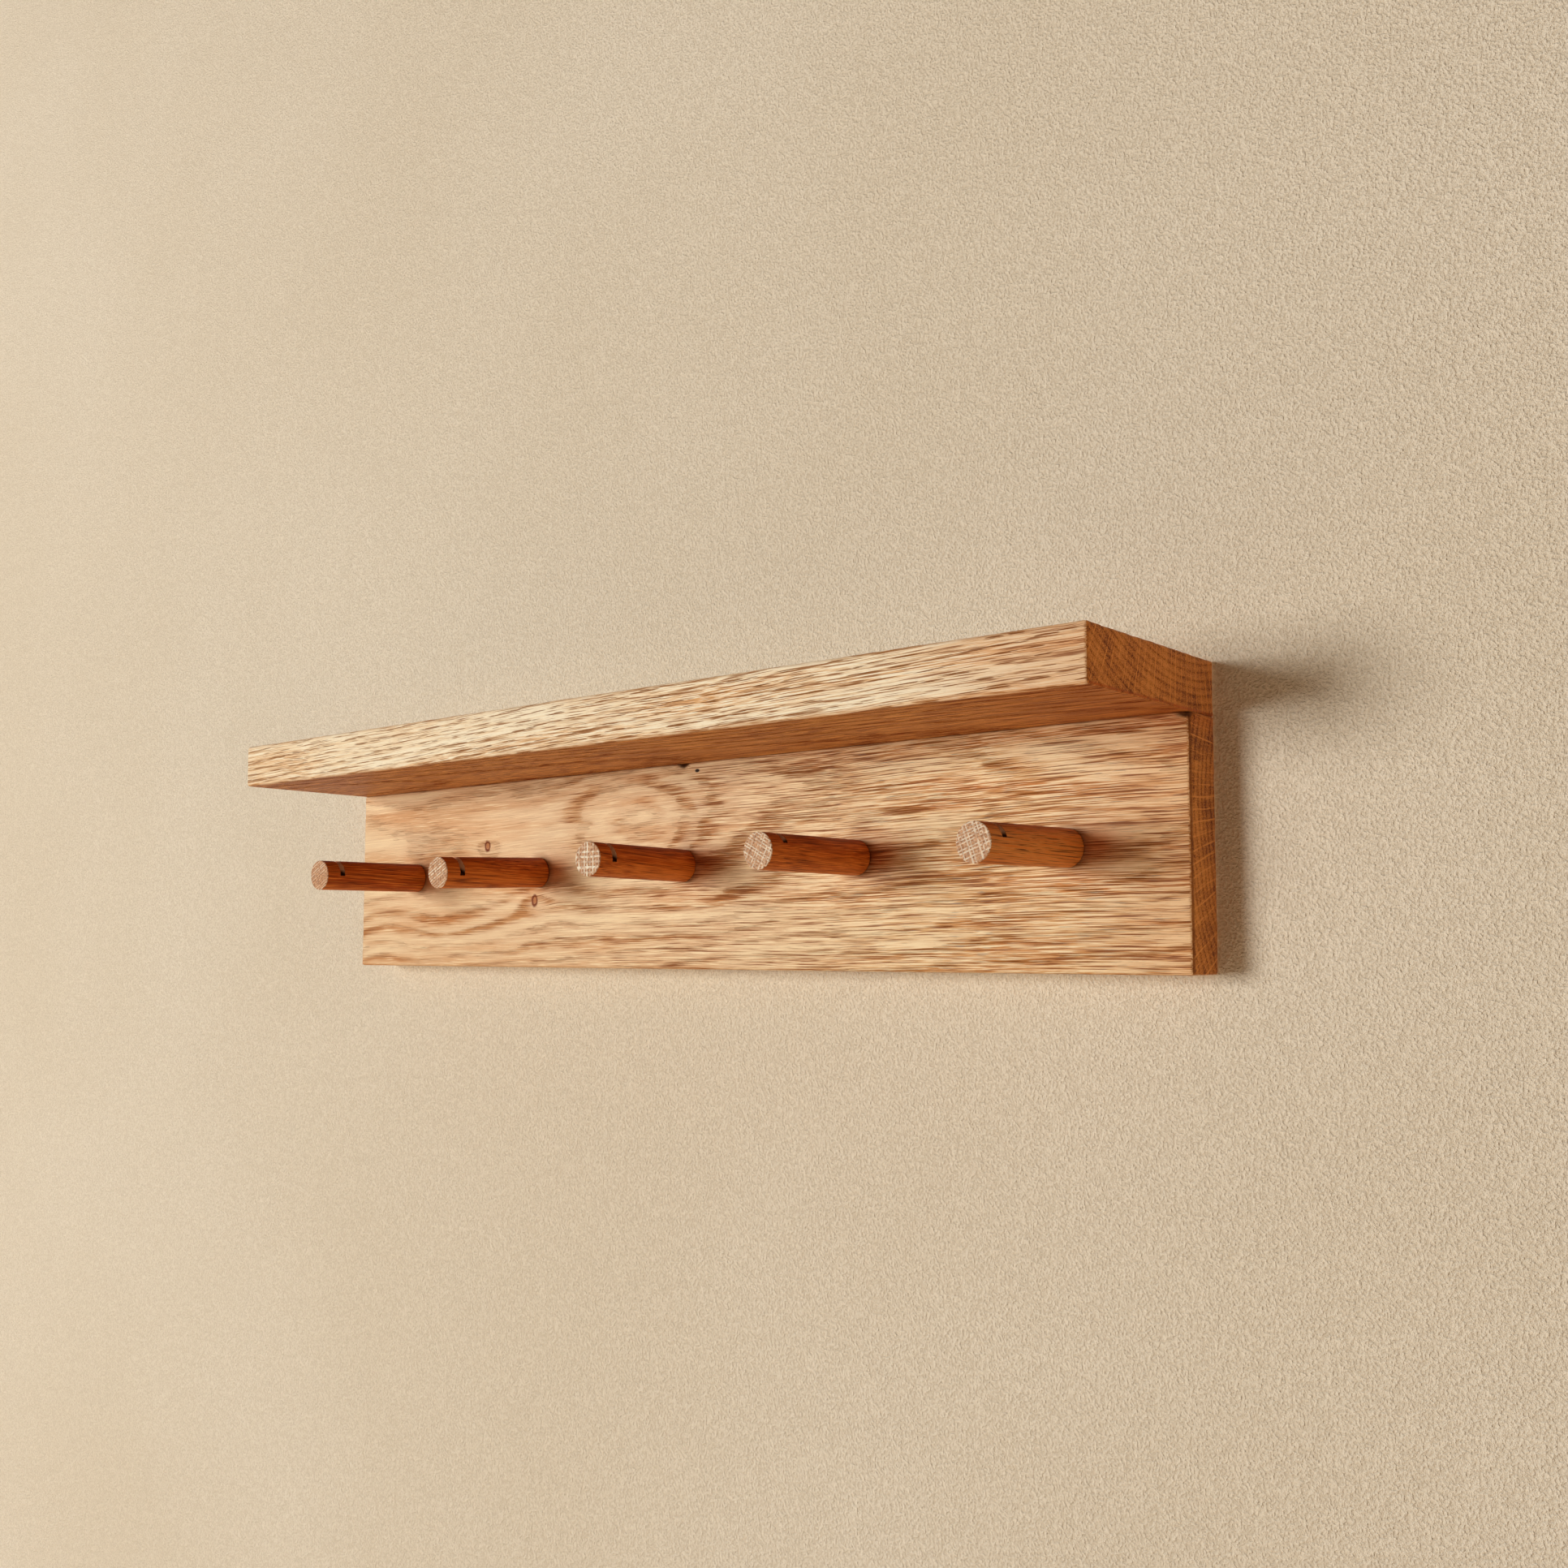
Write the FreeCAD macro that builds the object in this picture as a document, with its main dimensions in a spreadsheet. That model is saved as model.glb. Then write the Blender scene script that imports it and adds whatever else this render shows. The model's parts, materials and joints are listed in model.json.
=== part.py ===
import FreeCAD, Part
import os

import Sketcher

# Shaker peg rail with shelf.
# An upright back board carries a row of round pegs and a shelf board that sits on its top edge.
# The origin is the centre of the back board's rear face, at the height of the pegs.
# X runs along the rail, -Y points out into the room, +Y into the wall, and Z is up.

# Lengths are in millimetres and angles in degrees.
SIZES = {
    # The two boards, planed from one plank.
    "rail_length": 500,
    "rail_height": 95,
    "rail_thickness": 21,
    "shelf_depth": 95,
    "shelf_thickness": 21,
    "edge_ease": 1.2,
    "joint_ease": 0.3,
    # The pegs. Each has a tenon a little thinner than the peg, glued in a blind bore.
    "peg_end_margin": 50,
    "peg_diameter": 15,
    "peg_reach": 62,
    "peg_tip_ease": 0.4,
    "tenon_diameter": 14,
    "tenon_length": 15.5,
    "tenon_chamfer": 1,
    "tenon_glue_gap": 0.1,
    "tenon_end_gap": 0.5,
    "shoulder_gap": 0.4,
    # The saw kerf across the top of each peg, which keeps a hanger from sliding off.
    "kerf_width": 2.8,
    "kerf_depth": 6,
    "kerf_setback": 9,
    # The fluted dowels that join the shelf to the top edge of the back board.
    "dowel_end_margin": 50,
    "dowel_diameter": 8,
    "dowel_length": 35,
    "dowel_rail_depth": 22,
    "dowel_chamfer": 1,
    "dowel_glue_gap": 0.05,
    "dowel_end_gap": 0.5,
    "flute_radius": 0.45,
    # The keyhole plates let into the rear face, which hook over screws in the wall.
    "plate_end_margin": 100,
    "plate_top_margin": 7,
    "plate_width": 16,
    "plate_height": 45,
    "plate_thickness": 1.5,
    "plate_inset": 0.2,
    "plate_fit_gap": 0.15,
    "plate_edge_ease": 0.3,
    "entry_diameter": 9,
    "entry_drop": 7,
    "slot_width": 4.5,
    "slot_travel": 12,
    "head_pocket_width": 11,
    "head_pocket_depth": 10,
    # The countersunk wood screws that hold the plates.
    "screw_end_margin": 5.5,
    "screw_diameter": 3,
    "screw_core_diameter": 2.1,
    "screw_head_diameter": 6,
    "screw_length": 14,
    "screw_tip_length": 2.4,
    "screw_gap": 0.05,
    "thread_pitch": 1.3,
    "recess_span": 3.2,
    "recess_slot": 0.8,
    "recess_depth": 1.1,
    "screw_turn_step": 37,
    # How far a cut runs past the face that it opens.
    "overrun": 2,
}

# Each peg from left to right: how far its tip leans to the right, how far it leans up,
# and how far the peg is turned about its own axis, seen from its tip. In degrees.
PEG_LEANS = [
    (0.8, -0.6, 14),
    (-1.5, -2.2, 23),
    (1.8, 0.3, 19),
    (-1.3, 0, -14),
    (-1.9, -0.9, -1),
]
DOWEL_COUNT = 5
FLUTE_COUNT = 16
FULL_TURN = 360
SIDES = {"left": -1, "right": 1}

X_AXIS, Y_AXIS, Z_AXIS = FreeCAD.Vector(1, 0, 0), FreeCAD.Vector(0, 1, 0), FreeCAD.Vector(0, 0, 1)

doc = FreeCAD.newDocument("peg_rail_with_shelf")
sheet = doc.addObject("Spreadsheet::Sheet", "sizes")
finished = []


def fill_sheet():
    """Writes each driving dimension into the sheet: its name in column A, its value in column B."""
    for row, (name, value) in enumerate(SIZES.items(), start=1):
        sheet.set(f"A{row}", name)
        sheet.set(f"B{row}", str(value))
        sheet.setAlias(f"B{row}", name)
    doc.recompute()


def new_body(label):
    """One sub-part. Its label names its file."""
    body = doc.addObject("PartDesign::Body", label)
    body.Label = label
    finished.append(body)
    return body


def origin_feature(body, role):
    return next(f for f in body.Origin.OriginFeatures if f.Role == role)


def new_sketch(body, name, role, lift=None):
    """A sketch on one of the body's own origin planes, moved along the plane's normal by lift."""
    sketch = body.newObject("Sketcher::SketchObject", name)
    sketch.AttachmentSupport = [(origin_feature(body, role), "")]
    sketch.MapMode = "FlatFace"
    if lift:
        sketch.setExpression("AttachmentOffset.Base.z", lift)
    return sketch


def point_at(sketch, x, y):
    return FreeCAD.Vector(sketch.evalExpression(x), sketch.evalExpression(y), 0)


def constrain(sketch, kind, where, text):
    """Adds a constraint whose value follows the expression."""
    value = sketch.evalExpression(text)
    index = sketch.addConstraint(Sketcher.Constraint(kind, *where, value))
    sketch.setExpression(f"Constraints[{index}]", text)


def pin_point(sketch, curve, point, x, y):
    """Fixes a curve's start (1), end (2) or centre (3) by its distances from the sketch's origin."""
    constrain(sketch, "DistanceX", (-1, 1, curve, point), x)
    constrain(sketch, "DistanceY", (-1, 1, curve, point), y)


def join_ends(sketch, kind, outline):
    """Joins each curve's end (2) to the start (1) of the next one, all the way round."""
    for curve, following in zip(outline, outline[1:] + outline[:1]):
        sketch.addConstraint(Sketcher.Constraint(kind, curve, 2, following, 1))


def draw_circle(sketch, x, y, diameter):
    radius = sketch.evalExpression(f"({diameter}) / 2")
    curve = sketch.addGeometry(Part.Circle(point_at(sketch, x, y), Z_AXIS, radius))
    pin_point(sketch, curve, 3, x, y)
    constrain(sketch, "Diameter", (curve,), diameter)


def draw_polygon(sketch, corners):
    """A closed outline of straight lines through the corners, each one pinned."""
    points = [point_at(sketch, x, y) for x, y in corners]
    ends = points[1:] + points[:1]
    lines = [sketch.addGeometry(Part.LineSegment(a, b)) for a, b in zip(points, ends)]
    join_ends(sketch, "Coincident", lines)
    for line, (x, y) in zip(lines, corners):
        pin_point(sketch, line, 1, x, y)


def draw_rectangle(sketch, left, right, low, high):
    draw_polygon(sketch, [(left, low), (right, low), (right, high), (left, high)])


def draw_round_slot(sketch, x, low, high, width):
    """An upright slot with half-round ends, whose centres are at the heights low and high."""
    radius = sketch.evalExpression(f"({width}) / 2")
    bottom, top = point_at(sketch, x, low), point_at(sketch, x, high)
    right, up = X_AXIS * radius, Y_AXIS * radius
    bottom_arc = sketch.addGeometry(Part.Arc(bottom - right, bottom - up, bottom + right))
    right_line = sketch.addGeometry(Part.LineSegment(bottom + right, top + right))
    top_arc = sketch.addGeometry(Part.Arc(top + right, top + up, top - right))
    left_line = sketch.addGeometry(Part.LineSegment(top - right, bottom - right))
    join_ends(sketch, "Tangent", [bottom_arc, right_line, top_arc, left_line])
    sketch.addConstraint(Sketcher.Constraint("Equal", bottom_arc, top_arc))
    pin_point(sketch, bottom_arc, 3, x, low)
    pin_point(sketch, top_arc, 3, x, high)
    constrain(sketch, "Radius", (bottom_arc,), f"({width}) / 2")


def pad(body, sketch, length, name):
    feature = body.newObject("PartDesign::Pad", name)
    feature.Profile = sketch
    feature.setExpression("Length", length)
    doc.recompute()
    return feature


def pocket(body, sketch, depth, name, reverse=False):
    """Cuts the sketch's outline into the body, and makes sure that the cut took something away."""
    before = body.Shape.Volume
    feature = body.newObject("PartDesign::Pocket", name)
    feature.Profile = sketch
    feature.setExpression("Length", depth)
    feature.Reversed = reverse
    doc.recompute()
    if not body.Shape.Volume < before:
        raise ValueError(f"{name} of {body.Label} cuts nothing")
    return feature


def cut_primitive(body, kind, name, sizes, place):
    """Cuts a cylinder or cone out of the body. Its axis starts at the placement and follows its Z."""
    before = body.Shape.Volume
    feature = body.newObject(f"PartDesign::Subtractive{kind}", name)
    for size, text in sizes.items():
        feature.setExpression(size, text)
    feature.setExpression("Placement", place)
    doc.recompute()
    if not body.Shape.Volume < before:
        raise ValueError(f"{name} of {body.Label} cuts nothing")
    return feature


def edges_where(shape, wanted):
    """The names of the shape's edges whose middle point and direction pass the test."""
    names = []
    for number, edge in enumerate(shape.Edges, start=1):
        if edge.Degenerated:
            continue
        halfway = (edge.FirstParameter + edge.LastParameter) / 2
        middle, along = edge.valueAt(halfway), edge.tangentAt(halfway)
        if wanted(middle, along):
            names.append(f"Edge{number}")
    return names


def ease_edges(body, base, names, radius, label):
    """Rounds the named edges of the base feature."""
    feature = body.newObject("PartDesign::Fillet", label)
    feature.Base = (base, names)
    feature.setExpression("Radius", radius)
    doc.recompute()
    return feature


def chamfer_edges(body, base, names, size, label):
    feature = body.newObject("PartDesign::Chamfer", label)
    feature.Base = (base, names)
    feature.setExpression("Size", size)
    doc.recompute()
    return feature


def repeat_along(body, feature, axis_role, span, count, label):
    """Repeats a cut evenly along one of the body's axes."""
    pattern = body.newObject("PartDesign::LinearPattern", label)
    pattern.Originals = [feature]
    pattern.Direction = (origin_feature(body, axis_role), [""])
    pattern.setExpression("Length", span)
    pattern.Occurrences = count
    body.Tip = pattern
    doc.recompute()
    return pattern


def repeat_around(body, feature, axis_role, count, label):
    """Repeats a cut evenly about one of the body's axes."""
    pattern = body.newObject("PartDesign::PolarPattern", label)
    pattern.Originals = [feature]
    pattern.Axis = (origin_feature(body, axis_role), [""])
    pattern.Angle = FULL_TURN
    pattern.Occurrences = count
    body.Tip = pattern
    doc.recompute()
    return pattern


def spread(number, count, margin):
    """Where a piece sits along the rail when count of them are spread evenly between two end margins."""
    share = (number - 1) / (count - 1) - 1 / 2
    return f"{share} * (sizes.rail_length - 2 * sizes.{margin})"


def peg_frame(number):
    """A peg's own frame: its origin on the back board's front face and its tip towards -Y."""
    side_lean, rise, turn = PEG_LEANS[number - 1]
    across = spread(number, len(PEG_LEANS), "peg_end_margin")
    return (
        f"placement(vector({across}; -sizes.rail_thickness; 0);"
        f" rotationz({side_lean}) * rotationx({-rise}) * rotationy({turn}))"
    )


def plate_x(side):
    return f"{SIDES[side]} * (sizes.rail_length / 2 - sizes.plate_end_margin)"


# The height of a keyhole plate's centre, and heights on the plate from there.
PLATE_RISE = "(sizes.rail_height / 2 - sizes.plate_top_margin - sizes.plate_height / 2)"
PLATE_END = "(sizes.plate_height / 2 - sizes.plate_width / 2)"
ENTRY_HEIGHT = "(-sizes.entry_drop)"
SLOT_TOP = "(-sizes.entry_drop + sizes.slot_travel)"
SCREW_HEIGHT = "(sizes.plate_height / 2 - sizes.screw_end_margin)"
SCREW_ENDS = {"top": SCREW_HEIGHT, "bottom": f"(-{SCREW_HEIGHT})"}
PLATE_FLOOR = "(sizes.plate_inset + sizes.plate_thickness)"
PILOT_DIAMETER = "(sizes.screw_diameter + 2 * sizes.screw_gap)"
SCREW_COUNTERSINK = {
    "Radius1": "sizes.screw_head_diameter / 2 + sizes.screw_gap",
    "Radius2": f"{PILOT_DIAMETER} / 2",
    "Height": "sizes.plate_thickness",
}
KERF_CENTRE = "(sizes.peg_reach - sizes.kerf_setback)"


def make_back_rail():
    """The upright board: a planed plank with blind bores for pegs and dowels, and recesses behind."""
    body = new_body("back_rail")
    half_length, half_height = "sizes.rail_length / 2", "sizes.rail_height / 2"
    outline = new_sketch(body, "rail_outline", "XZ_Plane")
    draw_rectangle(outline, f"-{half_length}", half_length, f"-{half_height}", half_height)
    plank = pad(body, outline, "sizes.rail_thickness", "rail_plank")
    top = plank.Shape.BoundBox.ZMax
    under_joint = edges_where(
        plank.Shape, lambda middle, along: middle.z < top - SIZES["edge_ease"]
    )
    eased = ease_edges(body, plank, under_joint, "sizes.edge_ease", "rail_arrises")
    front = plank.Shape.BoundBox.YMin
    joint_edges = edges_where(
        eased.Shape,
        lambda middle, along: middle.z > top - SIZES["joint_ease"]
        and (abs(along.x) < abs(along.y) or middle.y > front / 2),
    )
    ease_edges(body, eased, joint_edges, "sizes.joint_ease", "rail_joint_edges")
    for number in range(1, len(PEG_LEANS) + 1):
        depth = "(sizes.tenon_length + sizes.tenon_end_gap)"
        cut_primitive(
            body,
            "Cylinder",
            f"peg_bore_{number}",
            {
                "Radius": "sizes.tenon_diameter / 2 + sizes.tenon_glue_gap",
                "Height": f"{depth} + sizes.overrun",
            },
            f"{peg_frame(number)} * placement(vector(0; {depth}; 0); rotationx(90))",
        )
    bore = new_sketch(body, "dowel_bore_outline", "XY_Plane", half_height)
    draw_circle(
        bore,
        spread(1, DOWEL_COUNT, "dowel_end_margin"),
        "-sizes.rail_thickness / 2",
        "sizes.dowel_diameter + 2 * sizes.dowel_glue_gap",
    )
    depth = "sizes.dowel_rail_depth + sizes.dowel_end_gap"
    first = pocket(body, bore, depth, "dowel_bore")
    span = "sizes.rail_length - 2 * sizes.dowel_end_margin"
    repeat_along(body, first, "X_Axis", span, DOWEL_COUNT, "dowel_bores")
    for side in SIDES:
        cut_plate_seat(body, side)
    return body


def cut_plate_seat(body, side):
    """The recess for one keyhole plate, the deeper pocket for the wall screw's head, and pilot bores."""
    across = plate_x(side)
    seat = new_sketch(body, f"plate_seat_{side}_outline", "XZ_Plane")
    draw_round_slot(
        seat,
        across,
        f"{PLATE_RISE} - {PLATE_END}",
        f"{PLATE_RISE} + {PLATE_END}",
        "sizes.plate_width + 2 * sizes.plate_fit_gap",
    )
    pocket(body, seat, PLATE_FLOOR, f"plate_seat_{side}", reverse=True)
    deep = new_sketch(body, f"head_pocket_{side}_outline", "XZ_Plane")
    draw_round_slot(
        deep,
        across,
        f"{PLATE_RISE} + {ENTRY_HEIGHT}",
        f"{PLATE_RISE} + {SLOT_TOP}",
        "sizes.head_pocket_width",
    )
    pocket(body, deep, "sizes.head_pocket_depth", f"head_pocket_{side}", reverse=True)
    for end, height in SCREW_ENDS.items():
        pilot = new_sketch(body, f"pilot_{side}_{end}_outline", "XZ_Plane")
        draw_circle(pilot, across, f"{PLATE_RISE} + {height}", PILOT_DIAMETER)
        depth = "sizes.plate_inset + sizes.screw_length + sizes.screw_gap"
        pocket(body, pilot, depth, f"pilot_{side}_{end}", reverse=True)


def make_shelf():
    """The shelf board. It lies on the back board's top edge, flush with it behind and at both ends."""
    body = new_body("shelf")
    half_length = "sizes.rail_length / 2"
    outline = new_sketch(body, "shelf_outline", "XY_Plane")
    draw_rectangle(outline, f"-{half_length}", half_length, "-sizes.shelf_depth", "0")
    plank = pad(body, outline, "sizes.shelf_thickness", "shelf_plank")
    back, right = plank.Shape.BoundBox.YMax, plank.Shape.BoundBox.XMax

    def at_joint(middle, along):
        """The edges of the underside, apart from the front one: they run into the glued joint."""
        at_back = middle.y > back - SIZES["edge_ease"]
        at_end = abs(middle.x) > right - SIZES["edge_ease"]
        return abs(along.z) < 1 / 2 and middle.z < SIZES["joint_ease"] and (at_back or at_end)

    outer = edges_where(plank.Shape, lambda middle, along: not at_joint(middle, along))
    eased = ease_edges(body, plank, outer, "sizes.edge_ease", "shelf_arrises")
    joint_edges = edges_where(eased.Shape, at_joint)
    ease_edges(body, eased, joint_edges, "sizes.joint_ease", "shelf_joint_edges")
    bore = new_sketch(body, "dowel_bore_outline", "XY_Plane")
    draw_circle(
        bore,
        spread(1, DOWEL_COUNT, "dowel_end_margin"),
        "-sizes.rail_thickness / 2",
        "sizes.dowel_diameter + 2 * sizes.dowel_glue_gap",
    )
    depth = "sizes.dowel_length - sizes.dowel_rail_depth + sizes.dowel_end_gap"
    first = pocket(body, bore, depth, "dowel_bore", reverse=True)
    span = "sizes.rail_length - 2 * sizes.dowel_end_margin"
    repeat_along(body, first, "X_Axis", span, DOWEL_COUNT, "dowel_bores")
    body.setExpression("Placement.Base.z", "sizes.rail_height / 2")
    return body


def make_peg(number):
    """A plain round peg with a glued tenon behind, a kerf across its top and a flat sawn tip."""
    body = new_body(f"peg_{number}")
    round_end = new_sketch(body, "peg_outline", "XZ_Plane", "sizes.shoulder_gap")
    draw_circle(round_end, "0", "0", "sizes.peg_diameter")
    shank = pad(body, round_end, "sizes.peg_reach - sizes.shoulder_gap", "peg_shank")
    tip = shank.Shape.BoundBox.YMin
    tip_edge = edges_where(
        shank.Shape,
        lambda middle, along: abs(along.y) < 1 / 2 and middle.y < tip + SIZES["overrun"],
    )
    ease_edges(body, shank, tip_edge, "sizes.peg_tip_ease", "peg_tip")
    tenon_end = new_sketch(body, "tenon_outline", "XZ_Plane", "-sizes.tenon_length")
    draw_circle(tenon_end, "0", "0", "sizes.tenon_diameter")
    tenon = pad(body, tenon_end, "sizes.tenon_length + sizes.shoulder_gap", "peg_tenon")
    foot = tenon.Shape.BoundBox.YMax
    foot_edge = edges_where(
        tenon.Shape,
        lambda middle, along: abs(along.y) < 1 / 2 and middle.y > foot - SIZES["overrun"],
    )
    chamfer_edges(body, tenon, foot_edge, "sizes.tenon_chamfer", "tenon_chamfer")
    kerf = new_sketch(body, "kerf_outline", "YZ_Plane")
    draw_rectangle(
        kerf,
        f"-{KERF_CENTRE} - sizes.kerf_width / 2",
        f"-{KERF_CENTRE} + sizes.kerf_width / 2",
        "sizes.peg_diameter / 2 - sizes.kerf_depth",
        "sizes.peg_diameter / 2 + sizes.overrun",
    )
    cut = pocket(body, kerf, "sizes.peg_diameter + sizes.overrun", "hanger_kerf")
    cut.SideType = "Symmetric"
    body.setExpression("Placement", peg_frame(number))
    return body


def make_shelf_dowel(number):
    """A fluted dowel, half in the back board's top edge and half in the shelf."""
    body = new_body(f"shelf_dowel_{number}")
    round_end = new_sketch(body, "dowel_outline", "XY_Plane")
    draw_circle(round_end, "0", "0", "sizes.dowel_diameter")
    rod = pad(body, round_end, "sizes.dowel_length", "dowel_rod")
    rims = edges_where(rod.Shape, lambda middle, along: abs(along.z) < 1 / 2)
    chamfer_edges(body, rod, rims, "sizes.dowel_chamfer", "dowel_ends")
    flute = new_sketch(body, "flute_outline", "XY_Plane")
    draw_circle(flute, "sizes.dowel_diameter / 2", "0", "2 * sizes.flute_radius")
    groove = pocket(body, flute, "sizes.dowel_length", "flute", reverse=True)
    repeat_around(body, groove, "Z_Axis", FLUTE_COUNT, "flutes")
    across = spread(number, DOWEL_COUNT, "dowel_end_margin")
    foot = "sizes.rail_height / 2 - sizes.dowel_rail_depth"
    body.setExpression(
        "Placement",
        f"placement(vector({across}; -sizes.rail_thickness / 2; {foot}); rotationz(0))",
    )
    return body


def make_keyhole_plate(side):
    """A steel plate with a round entry for the wall screw's head and a narrow slot above it."""
    body = new_body(f"keyhole_plate_{side}")
    outline = new_sketch(body, "plate_outline", "XZ_Plane")
    draw_round_slot(outline, "0", f"-{PLATE_END}", PLATE_END, "sizes.plate_width")
    blank = pad(body, outline, "sizes.plate_thickness", "plate_blank")
    rim = edges_where(blank.Shape, lambda middle, along: middle.y > -SIZES["plate_edge_ease"])
    ease_edges(body, blank, rim, "sizes.plate_edge_ease", "plate_rim")
    entry = new_sketch(body, "entry_outline", "XZ_Plane")
    draw_circle(entry, "0", ENTRY_HEIGHT, "sizes.entry_diameter")
    pocket(body, entry, "sizes.plate_thickness", "entry", reverse=True)
    slot = new_sketch(body, "slot_outline", "XZ_Plane")
    draw_round_slot(slot, "0", ENTRY_HEIGHT, SLOT_TOP, "sizes.slot_width")
    pocket(body, slot, "sizes.plate_thickness", "slot", reverse=True)
    for end, height in SCREW_ENDS.items():
        cut_primitive(
            body,
            "Cone",
            f"countersink_{end}",
            SCREW_COUNTERSINK,
            f"placement(vector(0; 0; {height}); rotationx(90))",
        )
    body.setExpression(
        "Placement",
        f"placement(vector({plate_x(side)}; -sizes.plate_inset; {PLATE_RISE}); rotationz(0))",
    )
    return body


def screw_profile():
    """Half of the screw's outline, as (radius, depth below the head's face), down to the tip."""
    head, crest, core = (
        f"sizes.screw_{name} / 2" for name in ("head_diameter", "diameter", "core_diameter")
    )
    corners = [("0", "0"), (head, "0"), (crest, "-sizes.plate_thickness")]
    threaded = SIZES["screw_length"] - SIZES["screw_tip_length"] - 2 * SIZES["plate_thickness"]
    turns = int(threaded / SIZES["thread_pitch"])
    thread_end = "(-sizes.screw_length + sizes.screw_tip_length)"
    thread_start = f"({thread_end} + {turns} * sizes.thread_pitch)"
    corners.append((crest, thread_start))
    for turn in range(turns):
        valley = f"{thread_start} - {turn + 1 / 2} * sizes.thread_pitch"
        ridge = f"{thread_start} - {turn + 1} * sizes.thread_pitch"
        corners += [(core, valley), (crest, ridge)]
    corners[-1] = (core, corners[-1][1])
    return corners + [("0", "-sizes.screw_length")]


def make_plate_screw(side, end, number):
    """A countersunk wood screw with a cross recess. Its thread is drawn as rings."""
    body = new_body(f"plate_screw_{side}_{end}")
    outline = new_sketch(body, "screw_outline", "XY_Plane")
    draw_polygon(outline, screw_profile())
    turned = body.newObject("PartDesign::Revolution", "screw_blank")
    turned.Profile = outline
    turned.ReferenceAxis = (origin_feature(body, "Y_Axis"), [""])
    turned.Angle = FULL_TURN
    doc.recompute()
    for label in ("upright", "level"):
        cross = new_sketch(body, f"recess_{label}_outline", "XZ_Plane")
        long, short = "sizes.recess_span / 2", "sizes.recess_slot / 2"
        wide, high = (short, long) if label == "upright" else (long, short)
        draw_rectangle(cross, f"-{wide}", wide, f"-{high}", high)
        pocket(body, cross, "sizes.recess_depth", f"recess_{label}", reverse=True)
    body.setExpression(
        "Placement",
        f"placement(vector({plate_x(side)}; -sizes.plate_inset;"
        f" {PLATE_RISE} + {SCREW_ENDS[end]}); rotationy({number} * sizes.screw_turn_step))",
    )
    return body


def check_document():
    """Stops if anything failed to build, before a file is written."""
    for thing in doc.Objects:
        if "Invalid" in thing.State or "Error" in thing.State:
            raise ValueError(f"{thing.Label} is {thing.State}")
    for body in finished:
        if body.Shape.isNull() or not body.Shape.isValid() or len(body.Shape.Solids) != 1:
            raise ValueError(f"{body.Label} is not one sound solid")


def main():
    fill_sheet()
    make_back_rail()
    make_shelf()
    for number in range(1, len(PEG_LEANS) + 1):
        make_peg(number)
    for number in range(1, DOWEL_COUNT + 1):
        make_shelf_dowel(number)
    for side in SIDES:
        make_keyhole_plate(side)
    places = [(side, end) for side in SIDES for end in SCREW_ENDS]
    for number, (side, end) in enumerate(places, start=1):
        make_plate_screw(side, end, number)
    doc.recompute()
    check_document()
    os.makedirs("parts", exist_ok=True)
    for body in finished:
        body.Shape.exportStep(f"parts/{body.Label}.step")
        print(body.Label, round(body.Shape.Volume, 1), "mm3")


main()
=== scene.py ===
import json
import math

import bmesh
import bpy
import numpy as np
from mathutils import Color, Matrix, Vector


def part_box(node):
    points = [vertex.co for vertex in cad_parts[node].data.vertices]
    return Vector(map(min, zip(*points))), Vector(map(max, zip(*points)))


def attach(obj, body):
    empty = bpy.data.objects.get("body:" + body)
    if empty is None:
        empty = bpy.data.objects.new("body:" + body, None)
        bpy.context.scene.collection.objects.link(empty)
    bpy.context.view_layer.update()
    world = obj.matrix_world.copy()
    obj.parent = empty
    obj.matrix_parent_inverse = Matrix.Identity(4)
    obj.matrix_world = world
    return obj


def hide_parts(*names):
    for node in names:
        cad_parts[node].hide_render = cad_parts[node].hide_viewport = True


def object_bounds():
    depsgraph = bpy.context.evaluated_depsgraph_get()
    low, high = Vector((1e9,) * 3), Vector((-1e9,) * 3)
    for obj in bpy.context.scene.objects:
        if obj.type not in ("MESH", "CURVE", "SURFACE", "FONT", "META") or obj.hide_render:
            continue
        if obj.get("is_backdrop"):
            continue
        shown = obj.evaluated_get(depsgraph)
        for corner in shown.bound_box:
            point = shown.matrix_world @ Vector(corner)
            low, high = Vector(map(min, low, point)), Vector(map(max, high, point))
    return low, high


# Shaker peg rail with shelf, in oiled oak, on a plain wall.
# X runs along the rail, -Y points out into the room and Z is up.
# Meshes are worked out in millimetres and stored in metres. Patterns read millimetres.

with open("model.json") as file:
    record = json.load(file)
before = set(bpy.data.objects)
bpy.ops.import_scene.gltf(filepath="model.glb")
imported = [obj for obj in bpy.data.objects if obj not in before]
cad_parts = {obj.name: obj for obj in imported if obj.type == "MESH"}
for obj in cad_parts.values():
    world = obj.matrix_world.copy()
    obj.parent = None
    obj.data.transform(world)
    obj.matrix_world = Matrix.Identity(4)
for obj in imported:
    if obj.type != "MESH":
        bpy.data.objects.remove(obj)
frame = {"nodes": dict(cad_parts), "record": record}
cad_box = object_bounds()

MM = 0.001
PER_METRE = 1000
SMOOTH_ANGLE = math.radians(40)
MERGE_DISTANCE = 0.002

# The two boards.
BOARD_GRID = 2.0
ARRIS_EASE = 1.2
ARRIS_STEPS = 3
ARRIS_UNEVENNESS = 0.28
JOINT_EASE = 0.3
JOINT_START = 4.0
JOINT_FADE = 12.0

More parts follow.
